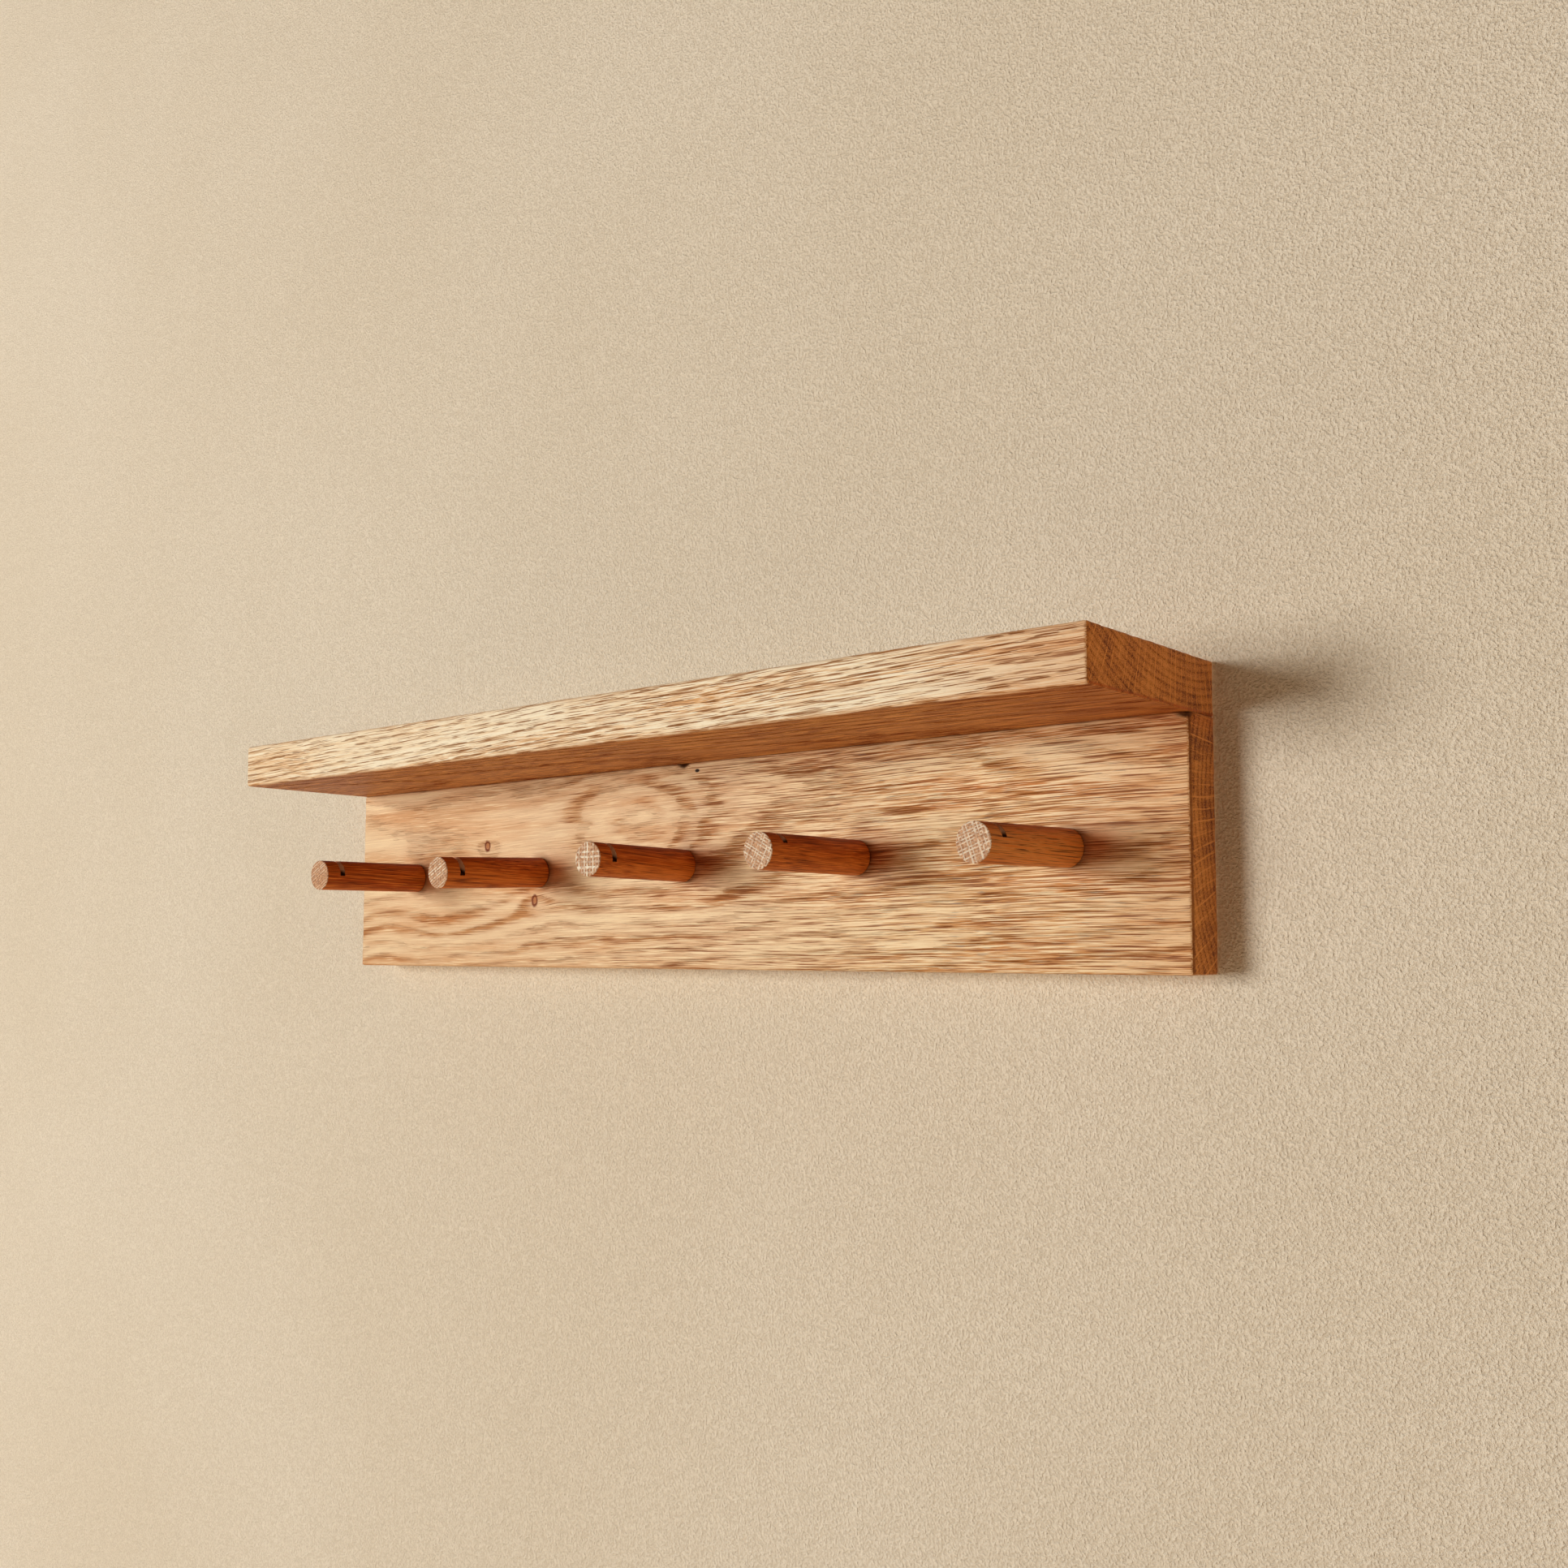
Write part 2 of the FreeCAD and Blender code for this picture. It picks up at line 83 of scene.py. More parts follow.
# The pegs: a tenon in the rail, a round shank, a saw kerf near the tip.
TENON_RADIUS = 7.0
TENON_LENGTH = 15.5
TENON_CHAMFER = 1.0
SHOULDER_GAP = 0.4
SHOULDER_EASE = 0.15
TIP_EASE = 0.4
TIP_RINGS = (6.2, 5.2, 4.2, 3.2, 2.2, 1.2, 0)
KERF_WIDTH = 2.8
KERF_DEPTH = 6.0
KERF_SETBACK = 9.0
KERF_TURNS = {"peg_1": 14, "peg_2": 23, "peg_3": 19, "peg_4": -14, "peg_5": -1}
PEG_SIDES = 128

# How far the lathe and the saw stray: shares of the radius, then millimetres.
OUT_OF_ROUND = 0.0016
LATHE_WAVE = 0.0012
KERF_FLOOR_WAVES = (0.12, 0.08)
KERF_WALL_WAVES = (0.09, 0.06)
SAW_MARK_DEPTH = 0.035

# The bores for pegs and dowels, and the recesses behind for the two keyhole plates.
GLUE_GAP = 0.1
BORE_END_GAP = 0.5
DOWEL_GLUE_GAP = 0.05
PLATE_FIT_GAP = 0.15
HEAD_POCKET_RADIUS = 5.5
HEAD_POCKET_DEPTH = 10.0
HEAD_POCKET_TRAVEL = 12.0
PILOT_RADIUS = 1.55
OVERRUN = 2.0
CUTTER_SIDES = 96

ALONG_X = np.array([1.0, 0.0, 0.0])
BACKWARD = np.array([0.0, 1.0, 0.0])
UPWARD = np.array([0.0, 0.0, 1.0])


def box_of(node):
    """A node's lowest and highest corners in millimetres."""
    return [np.array(corner) * PER_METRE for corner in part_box(node)]


def wander(along, lengths, starts):
    """A slow uneven wave between about -1 and 1: the mean of sines with the given lengths and starts."""
    waves = [np.sin(2 * np.pi * along / length + start) for length, start in zip(lengths, starts)]
    return np.mean(waves, axis=0)


def put_in_scene(name, points, faces):
    """A mesh object from points in millimetres and a list of faces."""
    mesh = bpy.data.meshes.new(name)
    mesh.from_pydata(points * MM, [], faces)
    mesh.validate()
    piece = bpy.data.objects.new(name, mesh)
    bpy.context.scene.collection.objects.link(piece)
    return piece


def merge_doubles(piece):
    """Joins points that lie on each other, drops faces without area, and turns all faces outwards."""
    work = bmesh.new()
    work.from_mesh(piece.data)
    bmesh.ops.remove_doubles(work, verts=work.verts, dist=MERGE_DISTANCE * MM)
    bmesh.ops.dissolve_degenerate(work, edges=work.edges, dist=MERGE_DISTANCE * MM)
    bmesh.ops.recalc_face_normals(work, faces=work.faces)
    work.to_mesh(piece.data)
    work.free()


def box_skin(axes):
    """The skin of a box as quads. Each side is a grid on the given places, and sides share their edges."""
    counts = [len(places) for places in axes]
    lattice = np.arange(np.prod(counts)).reshape(counts)
    sides = []
    for axis in range(3):
        layers = lattice.transpose(axis, (axis + 1) % 3, (axis + 2) % 3)
        for end in (0, -1):
            side = layers[end]
            corners = [side[:-1, :-1], side[1:, :-1], side[1:, 1:], side[:-1, 1:]]
            if end == 0:
                corners.reverse()
            sides.append(np.stack(corners, axis=-1).reshape(-1, 4))
    used, faces = np.unique(np.concatenate(sides), return_inverse=True)
    where = np.unravel_index(used, counts)
    points = np.stack([places[index] for places, index in zip(axes, where)], axis=-1)
    return points, faces.reshape(-1, 4)


def edge_places(low, high):
    """Places along one edge of a board: even in the middle, and at equal turns round each eased arris."""
    turns = ARRIS_EASE * (1 - np.tan(np.linspace(math.pi / 4, 0, ARRIS_STEPS + 1)))
    count = round((high - low - 2 * ARRIS_EASE) / BOARD_GRID)
    middle = np.linspace(low + ARRIS_EASE, high - ARRIS_EASE, count + 1)[1:-1]
    return np.concatenate([low + turns, middle, high - turns[::-1]])


def hand_sanded(points, starts):
    """The ease of each arris at each point: it comes and goes along the board."""
    share = 1 + ARRIS_UNEVENNESS * wander(points.sum(axis=1), (61.0, 23.0, 9.5), starts)
    return ARRIS_EASE * share[:, None] * np.ones(3)


def ease_arrises(points, low, high, ease_low, ease_high):
    """Rounds the box's edges: each point goes to the nearest point of the box shrunk by the eases, and from
    there out again along the same line, as far as the ease on that side."""
    inner = np.clip(points, low + ease_low, high - ease_high)
    ease = np.where(points < inner, ease_low, ease_high)
    out = (points - inner) / ease
    reach = np.linalg.norm(out, axis=1, keepdims=True)
    return inner + out / np.where(reach > 0, reach, 1) * ease


def press_in(points, centre, reach, push):
    """Moves the points near the centre by push: all of it there, less with distance as a bell curve."""
    away = (points - np.array(centre)) / np.array(reach)
    return points + np.array(push) * np.exp(-np.sum(away**2, axis=1))[:, None]


def round_prism(centre, axis, up, radius, stretch, start, stop):
    """A closed prism to cut with. Its outline is a circle, pulled apart by stretch along up, and it runs from
    start to stop along the axis through the centre."""
    side = np.cross(up, axis)
    turn = 2 * np.pi * (np.arange(CUTTER_SIDES) + 0.5) / CUTTER_SIDES
    rise = radius * np.sin(turn) + stretch / 2 * np.sign(np.sin(turn))
    outline = np.outer(radius * np.cos(turn), side) + np.outer(rise, up) + centre
    points = np.concatenate([outline + axis * start, outline + axis * stop])
    here = np.arange(CUTTER_SIDES)
    following = np.roll(here, -1)
    walls = np.stack([here, following, following + CUTTER_SIDES, here + CUTTER_SIDES], axis=-1)
    faces = walls.tolist() + [here[::-1].tolist(), (here + CUTTER_SIDES).tolist()]
    return points, faces


def cut_out(piece, prisms):
    """Cuts the prisms, which don't touch each other, out of the piece."""
    points, faces, before = [], [], 0
    for prism_points, prism_faces in prisms:
        points.append(prism_points)
        faces += [[corner + before for corner in face] for face in prism_faces]
        before += len(prism_points)
    cutter = put_in_scene("cutter", np.concatenate(points), faces)
    merge_doubles(cutter)
    cut = piece.modifiers.new("cut", "BOOLEAN")
    cut.operation = "DIFFERENCE"
    cut.solver = "EXACT"
    cut.object = cutter
    settled = bpy.context.evaluated_depsgraph_get()
    whole = piece.data
    piece.data = bpy.data.meshes.new_from_object(piece.evaluated_get(settled))
    piece.modifiers.clear()
    bpy.data.meshes.remove(whole)
    bpy.data.objects.remove(cutter)


def finish_piece(piece, material, node):
    """Gives a new piece its finish, smooth but for its corners, and lets it stand for the node."""
    mesh = piece.data
    mesh.polygons.foreach_set("use_smooth", np.ones(len(mesh.polygons), bool))
    mesh.set_sharp_from_angle(angle=SMOOTH_ANGLE)
    mesh.materials.clear()
    mesh.materials.append(material)
    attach(piece, "root")
    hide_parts(node)


PEG_NAMES = sorted(KERF_TURNS)
DOWEL_NAMES = [f"shelf_dowel_{number}" for number in range(1, 6)]
PLATE_NAMES = ["keyhole_plate_left", "keyhole_plate_right"]
SCREW_NAMES = sorted(name for name in frame["nodes"] if name.startswith("plate_screw"))
MOUNTS = {mount["name"]: mount for mount in frame["record"]["mounts"]}


def peg_axes(name):
    """A peg's axis, and the directions at right angles to it that point most nearly up, and level."""
    axis = np.array(MOUNTS[name]["axis"])
    upright = UPWARD - axis * axis[2]
    upright /= np.linalg.norm(upright)
    return axis, upright, np.cross(upright, axis)


def peg_place(name):
    """A peg's root on the rail's front face, its axis, its kerf's up and side, its radius and its reach."""
    axis, upright, level = peg_axes(name)
    mount = MOUNTS[name]
    length = mount["dims"]["length_mm"]
    middle = (SHOULDER_GAP + length + SHOULDER_GAP) / 2
    root = np.array(mount["pos_m"]) * PER_METRE - axis * middle
    turn = math.radians(KERF_TURNS[name])
    up = math.cos(turn) * upright + math.sin(turn) * level
    return root, axis, up, np.cross(up, axis), mount["dims"]["r_mm"], SHOULDER_GAP + length + TIP_EASE


def peg_bore(name):
    root, axis, up, _, _, _ = peg_place(name)
    depth = TENON_LENGTH + BORE_END_GAP
    return round_prism(root, axis, up, TENON_RADIUS + GLUE_GAP, 0, -depth, OVERRUN)


def dowel_bore(name):
    """The bore round a dowel, which crosses the joint and so lies in both boards."""
    low, high = box_of(name)
    centre = (low + high) / 2 * (ALONG_X + BACKWARD)
    radius = (high - low)[0] / 2 + DOWEL_GLUE_GAP
    start, stop = low[2] - BORE_END_GAP, high[2] + BORE_END_GAP
    return round_prism(centre, UPWARD, BACKWARD, radius, 0, start, stop)


def bore_behind(centre, radius, stretch, depth):
    """A bore or slot from the rail's back face down to a depth, as a place on Y."""
    return round_prism(centre * (ALONG_X + UPWARD), BACKWARD, UPWARD, radius, stretch, depth, OVERRUN)


def plate_seat(name):
    low, high = box_of(name)
    width, _, height = high - low
    return bore_behind((low + high) / 2, width / 2 + PLATE_FIT_GAP, height - width, low[1])


def head_pocket(name):
    """The deep pocket behind the keyhole, where the wall screw's head slides up."""
    side = name.rsplit("_", 1)[1]
    entry = np.array(MOUNTS[f"keyhole_{side}"]["pos_m"]) * PER_METRE
    centre = entry + UPWARD * HEAD_POCKET_TRAVEL / 2
    return bore_behind(centre, HEAD_POCKET_RADIUS, HEAD_POCKET_TRAVEL, -HEAD_POCKET_DEPTH)


def pilot_bore(name):
    low, high = box_of(name)
    return bore_behind((low + high) / 2, PILOT_RADIUS, 0, low[1])


# Faults in the rail's timber: centre, reach and push in millimetres. A knot has its width and height, and how
# deep it has sunk.
CORNER_CHIP = ((250, -21, 47.5), (2.6, 2.4, 2.2), (-1.4, 1.0, 0))
BARK_POCKET = ((-1, -21, 47.5), (3.4, 1.6, 1.5), (0, 1.1, -0.5))
RAIL_KNOTS = [((-141.4, -21, 15), (2.1, 2.6), 0.35), ((-104, -21, -14), (2.0, 2.8), 0.4)]


def make_back_rail(material):
    """The upright board: a box with uneven eased arrises, two pin knots, a bark pocket and a chipped corner,
    bored and recessed."""
    low, high = box_of("back_rail")
    points, faces = box_skin([edge_places(a, b) for a, b in zip(low, high)])
    ease = hand_sanded(points, (0.4, 2.1, 4.0))
    ease_high = ease.copy()
    ease_high[:, 2] = JOINT_EASE
    points = ease_arrises(points, low, high, ease, ease_high)
    points = press_in(points, *CORNER_CHIP)
    points = press_in(points, *BARK_POCKET)
    for centre, (wide, tall), depth in RAIL_KNOTS:
        points = press_in(points, centre, (wide, 1.0, tall), (0, depth, 0))
    rail = put_in_scene("oak_back_rail", points, faces.tolist())
    bores = [*map(peg_bore, PEG_NAMES), *map(dowel_bore, DOWEL_NAMES)]
    cut_out(rail, [*bores, *map(plate_seat, PLATE_NAMES)])
    cut_out(rail, [*map(head_pocket, PLATE_NAMES), *map(pilot_bore, SCREW_NAMES)])
    finish_piece(rail, material, "back_rail")


def make_shelf(material):
    """The shelf board: a box with uneven eased arrises, nearly sharp at its joint, bored for the dowels."""
    low, high = box_of("shelf")
    points, faces = box_skin([edge_places(a, b) for a, b in zip(low, high)])
    ease = hand_sanded(points, (1.3, 0.2, 2.6))
    ease_low = ease.copy()
    glued = np.clip((points[:, 1] - low[1] - JOINT_START) / JOINT_FADE, 0, 1)
    ease_low[:, 2] = ease[:, 2] * (1 - glued) + JOINT_EASE * glued
    points = ease_arrises(points, low, high, ease_low, ease)
    shelf = put_in_scene("oak_shelf", points, faces.tolist())
    cut_out(shelf, map(dowel_bore, DOWEL_NAMES))
    finish_piece(shelf, material, "shelf")


def peg_profile(radius, reach, kerf_low, kerf_high):
    """A peg's outline from the middle of its foot to the middle of its tip, as rows of (distance from the
    rail, radius), and which rows lie in the kerf."""
    foot = [(-TENON_LENGTH, r) for r in (0, 3, 5, TENON_RADIUS - TENON_CHAMFER)]
    tenon = [(s, TENON_RADIUS) for s in (-TENON_LENGTH + TENON_CHAMFER, -6, SHOULDER_GAP)]
    shoulder = [(SHOULDER_GAP, radius - SHOULDER_EASE), (SHOULDER_GAP + SHOULDER_EASE, radius)]
    shank = [(s, radius) for s in np.linspace(SHOULDER_GAP + 1.5, kerf_low - 1, 26)]
    inside = [(s, radius) for s in np.linspace(kerf_low, kerf_high, 7)]
    collar = [(s, radius) for s in np.linspace(kerf_high + 0.6, reach - TIP_EASE - 0.8, 6)]
    turns = np.linspace(0, math.pi / 2, 5)
    start, inner = reach - TIP_EASE, radius - TIP_EASE
    tip = [(start + TIP_EASE * math.sin(t), inner + TIP_EASE * math.cos(t)) for t in turns]
    face = [(reach, r) for r in TIP_RINGS]
    before = foot + tenon + shoulder + shank + [(kerf_low, radius)]
    profile = np.array(before + inside + [(kerf_high, radius)] + collar + tip + face)
    in_kerf = np.zeros(len(profile), bool)
    in_kerf[len(before):len(before) + len(inside)] = True
    return profile, in_kerf


def make_peg(name, material):
    """A turned peg: a circle carried along the axis through the profile, a little out of round. In the kerf
    the circle is cut off level, so its upper points drop to the kerf's floor. The saw leaves the kerf's
    edges ragged and its marks on the tip."""
    root, axis, up, side, radius, reach = peg_place(name)
    number = PEG_NAMES.index(name)
    kerf_middle = reach - KERF_SETBACK
    kerf_low, kerf_high = kerf_middle - KERF_WIDTH / 2, kerf_middle + KERF_WIDTH / 2
    profile, in_kerf = peg_profile(radius, reach, kerf_low, kerf_high)
    turns = 2 * np.pi * np.arange(PEG_SIDES) / PEG_SIDES
    s, angle = np.meshgrid(profile[:, 0], turns, indexing="ij")
    r = np.repeat(profile[:, 1:], PEG_SIDES, axis=1)
    oval = OUT_OF_ROUND * np.sin(2 * angle + number)
    r = r * (1 + oval + LATHE_WAVE * np.sin(5 * angle + s / 9 + 2 * number))
    sideways, rise = r * np.cos(angle), r * np.sin(angle)

    slow, quick = KERF_FLOOR_WAVES
    level = radius - KERF_DEPTH
    floor = level + slow * np.sin(1.3 * sideways + number) + quick * np.sin(5 * s)
    cut = in_kerf[:, None] & (rise > floor)
    slow, quick = KERF_WALL_WAVES
    ragged = slow * np.sin(9 * angle + number) + quick * np.sin(23 * angle + 2 * number)
    on_wall = np.isclose(s, kerf_low, atol=1e-6) | np.isclose(s, kerf_high, atol=1e-6)
    torn = on_wall & (rise > level + 0.6) & ~cut
    s = s + np.where(torn, ragged * np.sign(s - kerf_middle), 0)
    rise = np.where(cut, floor, rise)
    on_face = (s > reach - 0.05) & (r < radius - 0.5)
    across = sideways * math.cos(number) + rise * math.sin(number)
    s = s - np.where(on_face, SAW_MARK_DEPTH * (1 + np.sin(3.1 * across)), 0)

    points = root + s[..., None] * axis + sideways[..., None] * side + rise[..., None] * up
    ring = np.arange(len(profile) - 1)[:, None] * PEG_SIDES
    here = ring + np.arange(PEG_SIDES)
    following = ring + np.roll(np.arange(PEG_SIDES), -1)
    faces = np.stack([here, here + PEG_SIDES, following + PEG_SIDES, following], axis=-1)
    peg = put_in_scene(f"oak_{name}", points.reshape(-1, 3), faces.reshape(-1, 4).tolist())
    merge_doubles(peg)
    finish_piece(peg, material, name)


def paint(red, green, blue):
    """A colour as the eye sees it, 0 to 255, in the linear values that a shader takes."""
    seen = Color((red / 255, green / 255, blue / 255))
    return (*seen.from_srgb_to_scene_linear(), 1)


# Colours on the boards. The materials give each board its own four tones of oak.
OAK_TONE = paint(224, 183, 136)
END_GRAIN_LIGHT = paint(236, 172, 92)
END_GRAIN = paint(206, 140, 66)
END_GRAIN_DARK = paint(116, 64, 24)
STREAK = paint(238, 191, 132)
SILVER = paint(140, 136, 126)
KNOT_RING = paint(118, 48, 10)
KNOT_CORE = paint(182, 116, 66)
BARK = paint(48, 26, 14)
# Painted shade in a ring round each peg's foot, partly a stain of glue and oil.
PEG_RING_SHADE_AND_STAIN = paint(150, 92, 44)
# Painted shadow: the tint of each peg's cast shadow on the rail's face.
PAINTED_PEG_SHADOW = paint(208, 124, 62)
END_EDGE = paint(84, 40, 14)
# Partly painted shade under the shelf, and the deeper tone towards the right end.
RAIL_SHADE_AND_DEEP_TONE = paint(222, 160, 100)
RAIL_ARRIS = paint(176, 112, 62)
SHELF_RIGHT_DEEP_TONE = paint(224, 168, 110)
SHELF_ARRIS = paint(186, 122, 66)
# Painted shade on the shelf's underside.
UNDERSIDE_PAINTED_SHADE = paint(229, 172, 112)

# Colours on the pegs. Each peg has its own tone.
PEG_TONES = [(174, 86, 26), (182, 92, 28), (184, 94, 30), (186, 100, 36), (220, 148, 78)]
SAWN_PALE = paint(222, 172, 130)
SAWN_DARK = paint(156, 104, 70)
SAWN_PIT = paint(112, 62, 34)
SAWN_RAY = paint(255, 247, 226)
# Painted shade on the floor of each kerf.
KERF_FLOOR_PAINTED_SHADE = paint(36, 18, 8)
# The kerf's wall: pale sawn end grain with a painted highlight.
KERF_WALL_GRAIN_AND_HIGHLIGHT = paint(250, 212, 182)
# Painted shade on each peg's upper side.
PEG_TOP_PAINTED_SHADE = paint(196, 130, 80)
PEG_FOOT = paint(52, 24, 8)

# Sizes of the oak's patterns in millimetres: along the fibres, and across them both ways.
SWAY_SIZE = (62.0, 26.0, 26.0)
RIPPLE_SIZE = (20.0, 6.0, 6.0)
RAGGED_SIZE = (26.0, 1.0, 1.0)
PATCH_SIZE = (45.0, 9.0, 9.0)
FIBRE_SIZE = (60.0, 0.7, 0.7)
LINE_SIZE = (30.0, 0.42, 0.42)
SPECK_SIZE = (10.0, 0.3, 0.3)
STREAK_SIZE = (120.0, 10.0, 10.0)
SILVER_SIZE = (12.0, 0.3, 0.3)
HEART_BEND_LENGTH = 110.0

# Sizes that follow the rings: along the tree, out from its heart, and round it.
RAY_BEND_SIZE = (60.0, 40.0, 9.0)
RAY_BREAK_SIZE = (20.0, 9.0, 2.0)
FINE_RAY_SIZE = (3.0, 9.0, 0.34)
END_PATCH_SIZE = (60.0, 11.0, 9.0)
RAY_SPACING = 3.4

ORIGIN = (0.0, 0.0, 0.0)
UNIT = (1.0, 1.0, 1.0)


def spaced(values):
    """The values by the names of their sockets, which have spaces where the given names have low lines."""
    return {name.replace("_", " "): value for name, value in values.items()}


class Wiring:
    """Adds nodes to an empty tree. An input given as another node's output is linked, any other is set."""

    def __init__(self, tree):
        self.tree = tree
        tree.nodes.clear()

    def node(self, kind, inputs=(), **settings):
        made = self.tree.nodes.new(kind)
        for name, value in settings.items():
            setattr(made, name, value)
        for key, value in dict(inputs).items():
            if isinstance(value, bpy.types.NodeSocket):
                self.tree.links.new(value, made.inputs[key])
            else:
                made.inputs[key].default_value = value
        return made

    def group(self, tree, **inputs):
        return self.node("ShaderNodeGroup", spaced(inputs), node_tree=tree).outputs

    def number(self, operation, *values):
        """An operation on one or two numbers, or on more of them in turn."""
        while len(values) > 2:
            values = (self.number(operation, *values[:2]), *values[2:])
        return self.node("ShaderNodeMath", enumerate(values), operation=operation).outputs[0]

    def add(self, *values):
        return self.number("ADD", *values)

    def times(self, *values):
        return self.number("MULTIPLY", *values)

    def less(self, *values):
        return self.number("SUBTRACT", *values)

    def centred(self, value, strength=1.0):
        """A noise from 0 to 1, moved to lie about 0 and made as strong as it should be."""
        return self.times(self.less(value, 0.5), strength)

    def apart(self, value, other):
        return self.number("ABSOLUTE", self.less(value, other))

    def vector(self, operation, *values):
        made = self.node("ShaderNodeVectorMath", enumerate(values), operation=operation)
        gives_number = operation in ("LENGTH", "DOT_PRODUCT")
        return made.outputs["Value" if gives_number else "Vector"]

    def split(self, vector):
        return self.node("ShaderNodeSeparateXYZ", {0: vector}).outputs

    def join(self, x, y, z):
        return self.node("ShaderNodeCombineXYZ", {0: x, 1: y, 2: z}).outputs[0]

    def noise(self, place, size, detail=2.0, roughness=0.5):
        """Soft noise from 0 to 1 whose lumps have the given size."""
        sized = self.vector("DIVIDE", place, size)
        inputs = {"Vector": sized, "Scale": 1.0, "Detail": detail, "Roughness": roughness}
        return self.node("ShaderNodeTexNoise", inputs).outputs["Fac"]

    def cells(self, place, size):
        """The distance to the nearest of scattered points, in cells of that size, and a number of its own."""
        sized = self.vector("DIVIDE", place, size)
        made = self.node("ShaderNodeTexVoronoi", {"Vector": sized, "Scale": 1.0})
        return made.outputs["Distance"], self.split(made.outputs["Color"])[0]

    def own(self, phase):
        """A random number from 0 to 1 that stays the same from one whole phase to the next."""
        inputs = {"W": self.number("FLOOR", phase)}
        return self.node("ShaderNodeTexWhiteNoise", inputs, noise_dimensions="1D").outputs["Value"]

    def ramp(self, value, start, stop, low=0.0, high=1.0):
        """Goes smoothly from low to high as the value goes from start to stop."""
        inputs = {"Value": value, "From Min": start, "From Max": stop, "To Min": low, "To Max": high}
        return self.node("ShaderNodeMapRange", inputs, interpolation_type="SMOOTHSTEP").outputs[0]

    def blend(self, factor, first, second, how="MIX"):
        inputs = {0: factor, 6: first, 7: second}
        return self.node("ShaderNodeMix", inputs, data_type="RGBA", blend_type=how).outputs[2]


def new_group(name, outputs, **inputs):
    """A node group's wiring, and its inputs and outputs inside. Outputs are {name: kind}. Inputs come
    with their usual values."""
    tree = bpy.data.node_groups.new(name, "ShaderNodeTree")
    for socket_name, usual in spaced(inputs).items():
        kind = {3: "Vector", 4: "Color"}[len(usual)] if isinstance(usual, tuple) else "Float"
        socket = tree.interface.new_socket(socket_name, in_out="INPUT", socket_type=f"NodeSocket{kind}")
        socket.default_value = usual
    for socket_name, kind in outputs.items():
        tree.interface.new_socket(socket_name, in_out="OUTPUT", socket_type=f"NodeSocket{kind}")
    wiring = Wiring(tree)
    return wiring, wiring.node("NodeGroupInput").outputs, wiring.node("NodeGroupOutput").inputs


def give(wiring, results, **values):
    for name, value in spaced(values).items():
        wiring.tree.links.new(value, results[name])
    return wiring.tree


def bell_group():
    """1 at the centre, falling off as a bell curve with the distance measured in reaches."""
    w, given, results = new_group("bell", {"Bell": "Float"}, Place=ORIGIN, Centre=ORIGIN, Reach=UNIT)
    away = w.vector("DIVIDE", w.vector("SUBTRACT", given["Place"], given["Centre"]), given["Reach"])
    squared = w.vector("DOT_PRODUCT", away, away)
    return give(w, results, Bell=w.number("EXPONENT", w.times(squared, -1.0)))


def heartwood_group():
    """Where a point lies in its tree. Wood is how far along the grain, out from the heart and round it. The
    heart is a line along X that drifts with the slope and wanders, and the rings sway about it. Fibre is the
    place measured along the fibres, which run nearly straight and lift over a knot."""
    inputs = dict.fromkeys(("Place", "Heart", "Slope", "Fibre_Slope"), ORIGIN)
    inputs |= dict(Wander=3.0, Sway=2.0, Ripple=0.4, Swell=0.0, Lift=0.0)
    outputs = {"Wood": "Vector", "Fibre": "Vector"}
    w, given, results = new_group("place_in_tree", outputs, **inputs)
    place = given["Place"]
    x = w.split(place)[0]
    along = w.join(x, x, x)
    line = w.join(w.number("DIVIDE", x, HEART_BEND_LENGTH), 3.7, 9.1)
    bends = w.node("ShaderNodeTexNoise", {"Vector": line, "Scale": 1.0}).outputs["Color"]
    bend = w.vector("SUBTRACT", bends, (0.5, 0.5, 0.5))
    drift = w.vector("MULTIPLY", given["Slope"], along)
    wanders = w.vector("MULTIPLY", bend, w.join(0.0, given["Wander"], given["Wander"]))
    heart = w.vector("ADD", w.vector("ADD", given["Heart"], drift), wanders)
    away = w.vector("MULTIPLY", w.vector("SUBTRACT", place, heart), (0.0, 1.0, 1.0))
    _, away_y, away_z = w.split(away)
    sway = w.centred(w.noise(place, SWAY_SIZE), given["Sway"])
    ripple = w.centred(w.noise(place, RIPPLE_SIZE), given["Ripple"])
    out = w.add(w.vector("LENGTH", away), sway, ripple, given["Swell"])
    round_heart = w.times(w.number("ARCTAN2", away_z, away_y), 100.0)
    straight = w.vector("SUBTRACT", place, w.vector("MULTIPLY", given["Fibre Slope"], along))
    bowed = w.vector("ADD", straight, w.vector("MULTIPLY", bend, (0.0, 4.0, 4.0)))
    fibre = w.vector("ADD", bowed, w.join(0.0, 0.0, given["Lift"]))
    return give(w, results, Wood=w.join(x, out, round_heart), Fibre=fibre)


